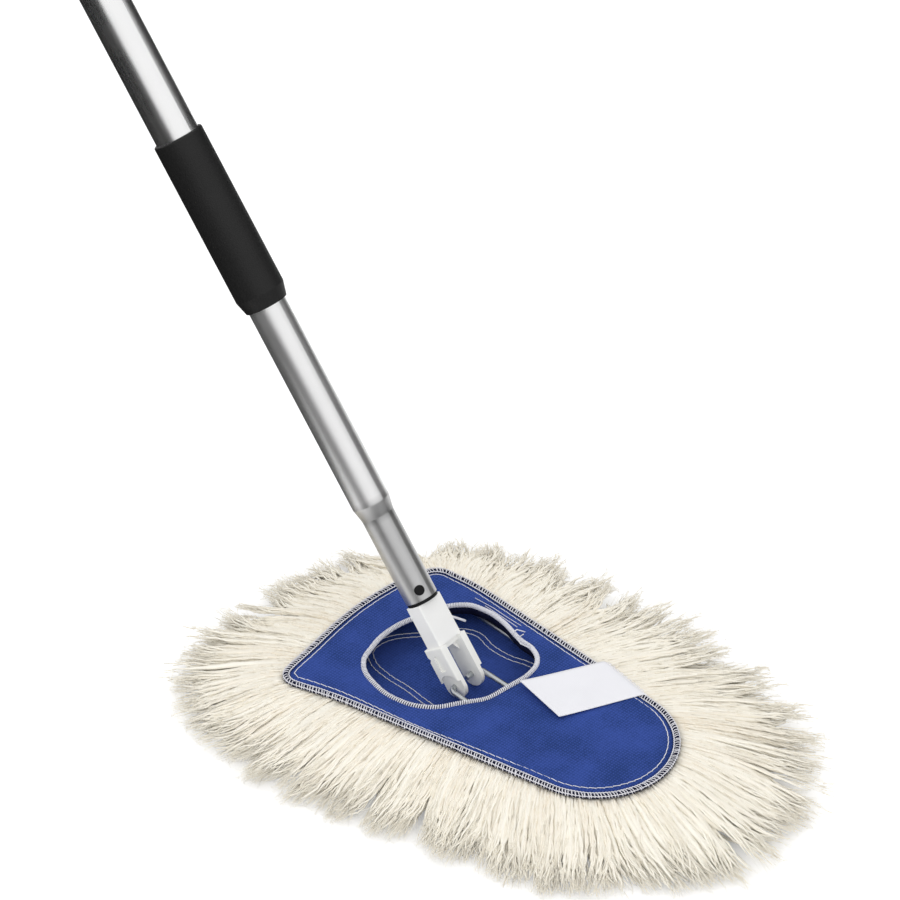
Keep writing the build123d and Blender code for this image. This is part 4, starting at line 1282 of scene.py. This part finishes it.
class MOP_OT_set_stage(bpy.types.Operator):
    """Set the floor, the soft light and the camera at the photograph's angle"""

    bl_idname = "mop.set_stage"
    bl_label = "Set stage"

    azimuth: bpy.props.FloatProperty(
        name="Azimuth", description="Camera's turn round the mop", default=math.radians(39.7), subtype="ANGLE"
    )
    elevation: bpy.props.FloatProperty(
        name="Elevation", description="Camera's rise over the horizon",
        default=math.radians(37.8), subtype="ANGLE",
    )

    def execute(self, context):
        scene = context.scene
        scene.view_settings.view_transform = "Standard"
        self.light_world(scene)
        self.lay_floor()
        self.hang_lights(scene)
        self.stand_cards()
        self.place_camera(scene)
        return {"FINISHED"}

    def seen(self, tree):
        """Socket that is one for camera, glossy and transmission rays."""
        rays = add_node(tree, "ShaderNodeLightPath").outputs
        direct = add_node(
            tree, "ShaderNodeMath", operation="MAXIMUM",
            links={0: rays["Is Camera Ray"], 1: rays["Is Glossy Ray"]},
        ).outputs[0]
        return add_node(
            tree, "ShaderNodeMath", operation="MAXIMUM", links={0: direct, 1: rays["Is Transmission Ray"]}
        ).outputs[0]

    def light_world(self, scene):
        """White backdrop that lights the object a little less than it shows."""
        scene.world = bpy.data.worlds.new("White studio")
        scene.world.use_nodes = True
        tree = scene.world.node_tree
        background = tree.nodes["Background"]
        background.inputs["Color"].default_value = (1, 1, 1, 1)
        strength = add_node(
            tree, "ShaderNodeMapRange", links={"Value": self.seen(tree)},
            inputs={"To Min": 0.78, "To Max": 1.0},
        ).outputs["Result"]
        feed(tree, background, Strength=strength)

    def lay_floor(self):
        """Matt white floor that keeps the shadow."""
        paper, tree, shader = new_material(
            "Matt white paper", Roughness=0.9, Base_Color=(0.82, 0.82, 0.82, 1), Emission_Color=(1, 1, 1, 1)
        )
        place = add_node(tree, "ShaderNodeTexCoord").outputs["Object"]
        fibres = add_node(
            tree, "ShaderNodeTexNoise", links={"Vector": place}, inputs={"Scale": 1 / (2 * MM)}
        ).outputs["Fac"]
        bump = add_node(
            tree, "ShaderNodeBump", links={"Height": fibres}, inputs={"Strength": 0.02, "Distance": 0.1 * MM}
        ).outputs["Normal"]
        glow = add_node(
            tree, "ShaderNodeMapRange", links={"Value": self.seen(tree)},
            inputs={"To Min": 0.0, "To Max": 0.32},
        ).outputs["Result"]
        feed(tree, shader, Normal=bump, Emission_Strength=glow)
        add_card("floor", (0, 0, 0), (0, 0, 1), (0, 1, 0), 60, 60, paper)

    def hang_lights(self, scene):
        """Large soft key light, a weaker fill, and lights low in front and behind."""
        target = Vector((0, 0, 0.12))
        # Direction from the target, distance and size in metres, power in watts
        lamps = {
            "key_light": ((0.7, -0.44, 0.62), 2.3, 3.0, 14.5),
            "fill_light": ((-0.75, -0.55, 0.9), 2.4, 1.6, 6.0),
            "front_light": ((0.25, -0.95, 0.22), 2.4, 1.8, 11.0),
            "back_light": ((-0.2, 0.9, 0.6), 2.4, 1.8, 14.0),
        }
        for name, (toward, far, size, power) in lamps.items():
            way = Vector(toward)
            lamp = bpy.data.lights.new(name, "AREA")
            lamp.size = size
            lamp.energy = power
            holder = bpy.data.objects.new(name, lamp)
            holder.location = target + way.normalized() * far
            holder.rotation_euler = (-way).to_track_quat("-Z", "Y").to_euler()
            scene.collection.objects.link(holder)
            # The tubes show the white surroundings and the cards, and the lamps light only the rest
            holder.visible_glossy = False

    def stand_cards(self):
        """Dark cards that only reflections show, for the dark edges on the tubes."""
        black, grey = [
            new_material(name, Roughness=1.0, Base_Color=rgba((1, 1, 1), shade), Specular_IOR_Level=0.0)[0]
            for name, shade in (("Black card", 0.02), ("Grey card", 0.06))
        ]
        upright = (0, 0, 1)
        level = (0, 1, 0)
        # Centre in metres, the way it faces, the way its height runs, width and height in metres, paint
        cards = {
            "near_card": ((-0.305, -0.2, 0.8 * MM), upright, level, 0.29, 1.0, grey),
            "low_card": ((-1.125, -0.06, 0.4 * MM), upright, level, 1.35, 0.72, black),
            "far_card": ((-0.6, -1.16, 0.4 * MM), upright, level, 2.4, 1.48, black),
            "front_card": ((0.875, -0.1, 0.4 * MM), upright, level, 1.05, 1.8, black),
            "skirting_card": ((1.4, -0.1, 0.11), (-1, 0, 0), upright, 2.2, 0.22, black),
            "left_card": ((0.615, -1.6, 0.02), (0, 1, 0), (0.241, 0, 0.97), 3.2, 1.2, black),
            "right_card": ((0.435, 0.8, 0.09), (0, -1, 0), (0.108, 0, 0.994), 3.4, 1.2, black),
        }
        for name, row in cards.items():
            card = add_card(name, *row)
            card.visible_camera = False
            card.visible_diffuse = False
            card.visible_shadow = False
            card.visible_transmission = False

    def place_camera(self, scene):
        """Long lens at the photograph's angle, with the hinge where the photograph has it."""
        level = math.cos(self.elevation)
        right = Vector((math.cos(self.azimuth), math.sin(self.azimuth), 0))
        back = Vector((right.y * level, -right.x * level, math.sin(self.elevation)))
        camera = bpy.data.cameras.new("photo_camera")
        camera.sensor_width = 36
        camera.lens = LENS
        holder = bpy.data.objects.new("photo_camera", camera)
        middle = HINGE - right * MIDDLE_LEFT + back.cross(right) * MIDDLE_ABOVE
        holder.location = middle + back * CAMERA_FAR
        holder.rotation_euler = (-back).to_track_quat("-Z", "Y").to_euler()
        scene.collection.objects.link(holder)
        scene.camera = holder


STEPS = (
    MOP_OT_dress_handle,
    MOP_OT_fit_spring,
    MOP_OT_sew_base,
    MOP_OT_sew_cover,
    MOP_OT_bind_opening,
    MOP_OT_serge_edge,
    MOP_OT_sew_tag,
    MOP_OT_tie_fringe,
    MOP_OT_fill_sole,
    MOP_OT_set_stage,
)


class MOP_PT_steps(bpy.types.Panel):
    """Lists the mop's steps, sizes and colours"""

    bl_idname = "MOP_PT_steps"
    bl_label = "Wedge mop"
    bl_space_type = "VIEW_3D"
    bl_region_type = "UI"
    bl_category = "Mop"

    def draw(self, context):
        layout = self.layout
        for step in STEPS:
            layout.operator(step.bl_idname)
        for group in (context.scene.mop_sizes, context.scene.mop_colours):
            for name in group.__annotations__:
                layout.prop(group, name)


CLASSES = (MopSizes, MopColours, *STEPS, MOP_PT_steps)


def register():
    """Registers the classes and puts the sizes and colours on the scene."""
    for cls in CLASSES:
        bpy.utils.register_class(cls)
    bpy.types.Scene.mop_sizes = bpy.props.PointerProperty(type=MopSizes)
    bpy.types.Scene.mop_colours = bpy.props.PointerProperty(type=MopColours)


def unregister():
    """Takes the sizes, colours and classes away again."""
    del bpy.types.Scene.mop_colours
    del bpy.types.Scene.mop_sizes
    for cls in reversed(CLASSES):
        bpy.utils.unregister_class(cls)


def main():
    """Makes the mop step by step."""
    register()
    bpy.ops.mop.dress_handle()
    bpy.ops.mop.fit_spring()
    bpy.ops.mop.sew_base()
    bpy.ops.mop.sew_cover()
    bpy.ops.mop.bind_opening()
    bpy.ops.mop.serge_edge()
    bpy.ops.mop.sew_tag()
    bpy.ops.mop.tie_fringe()
    bpy.ops.mop.fill_sole()
    bpy.ops.mop.set_stage()


if __name__ == "__main__":
    main()
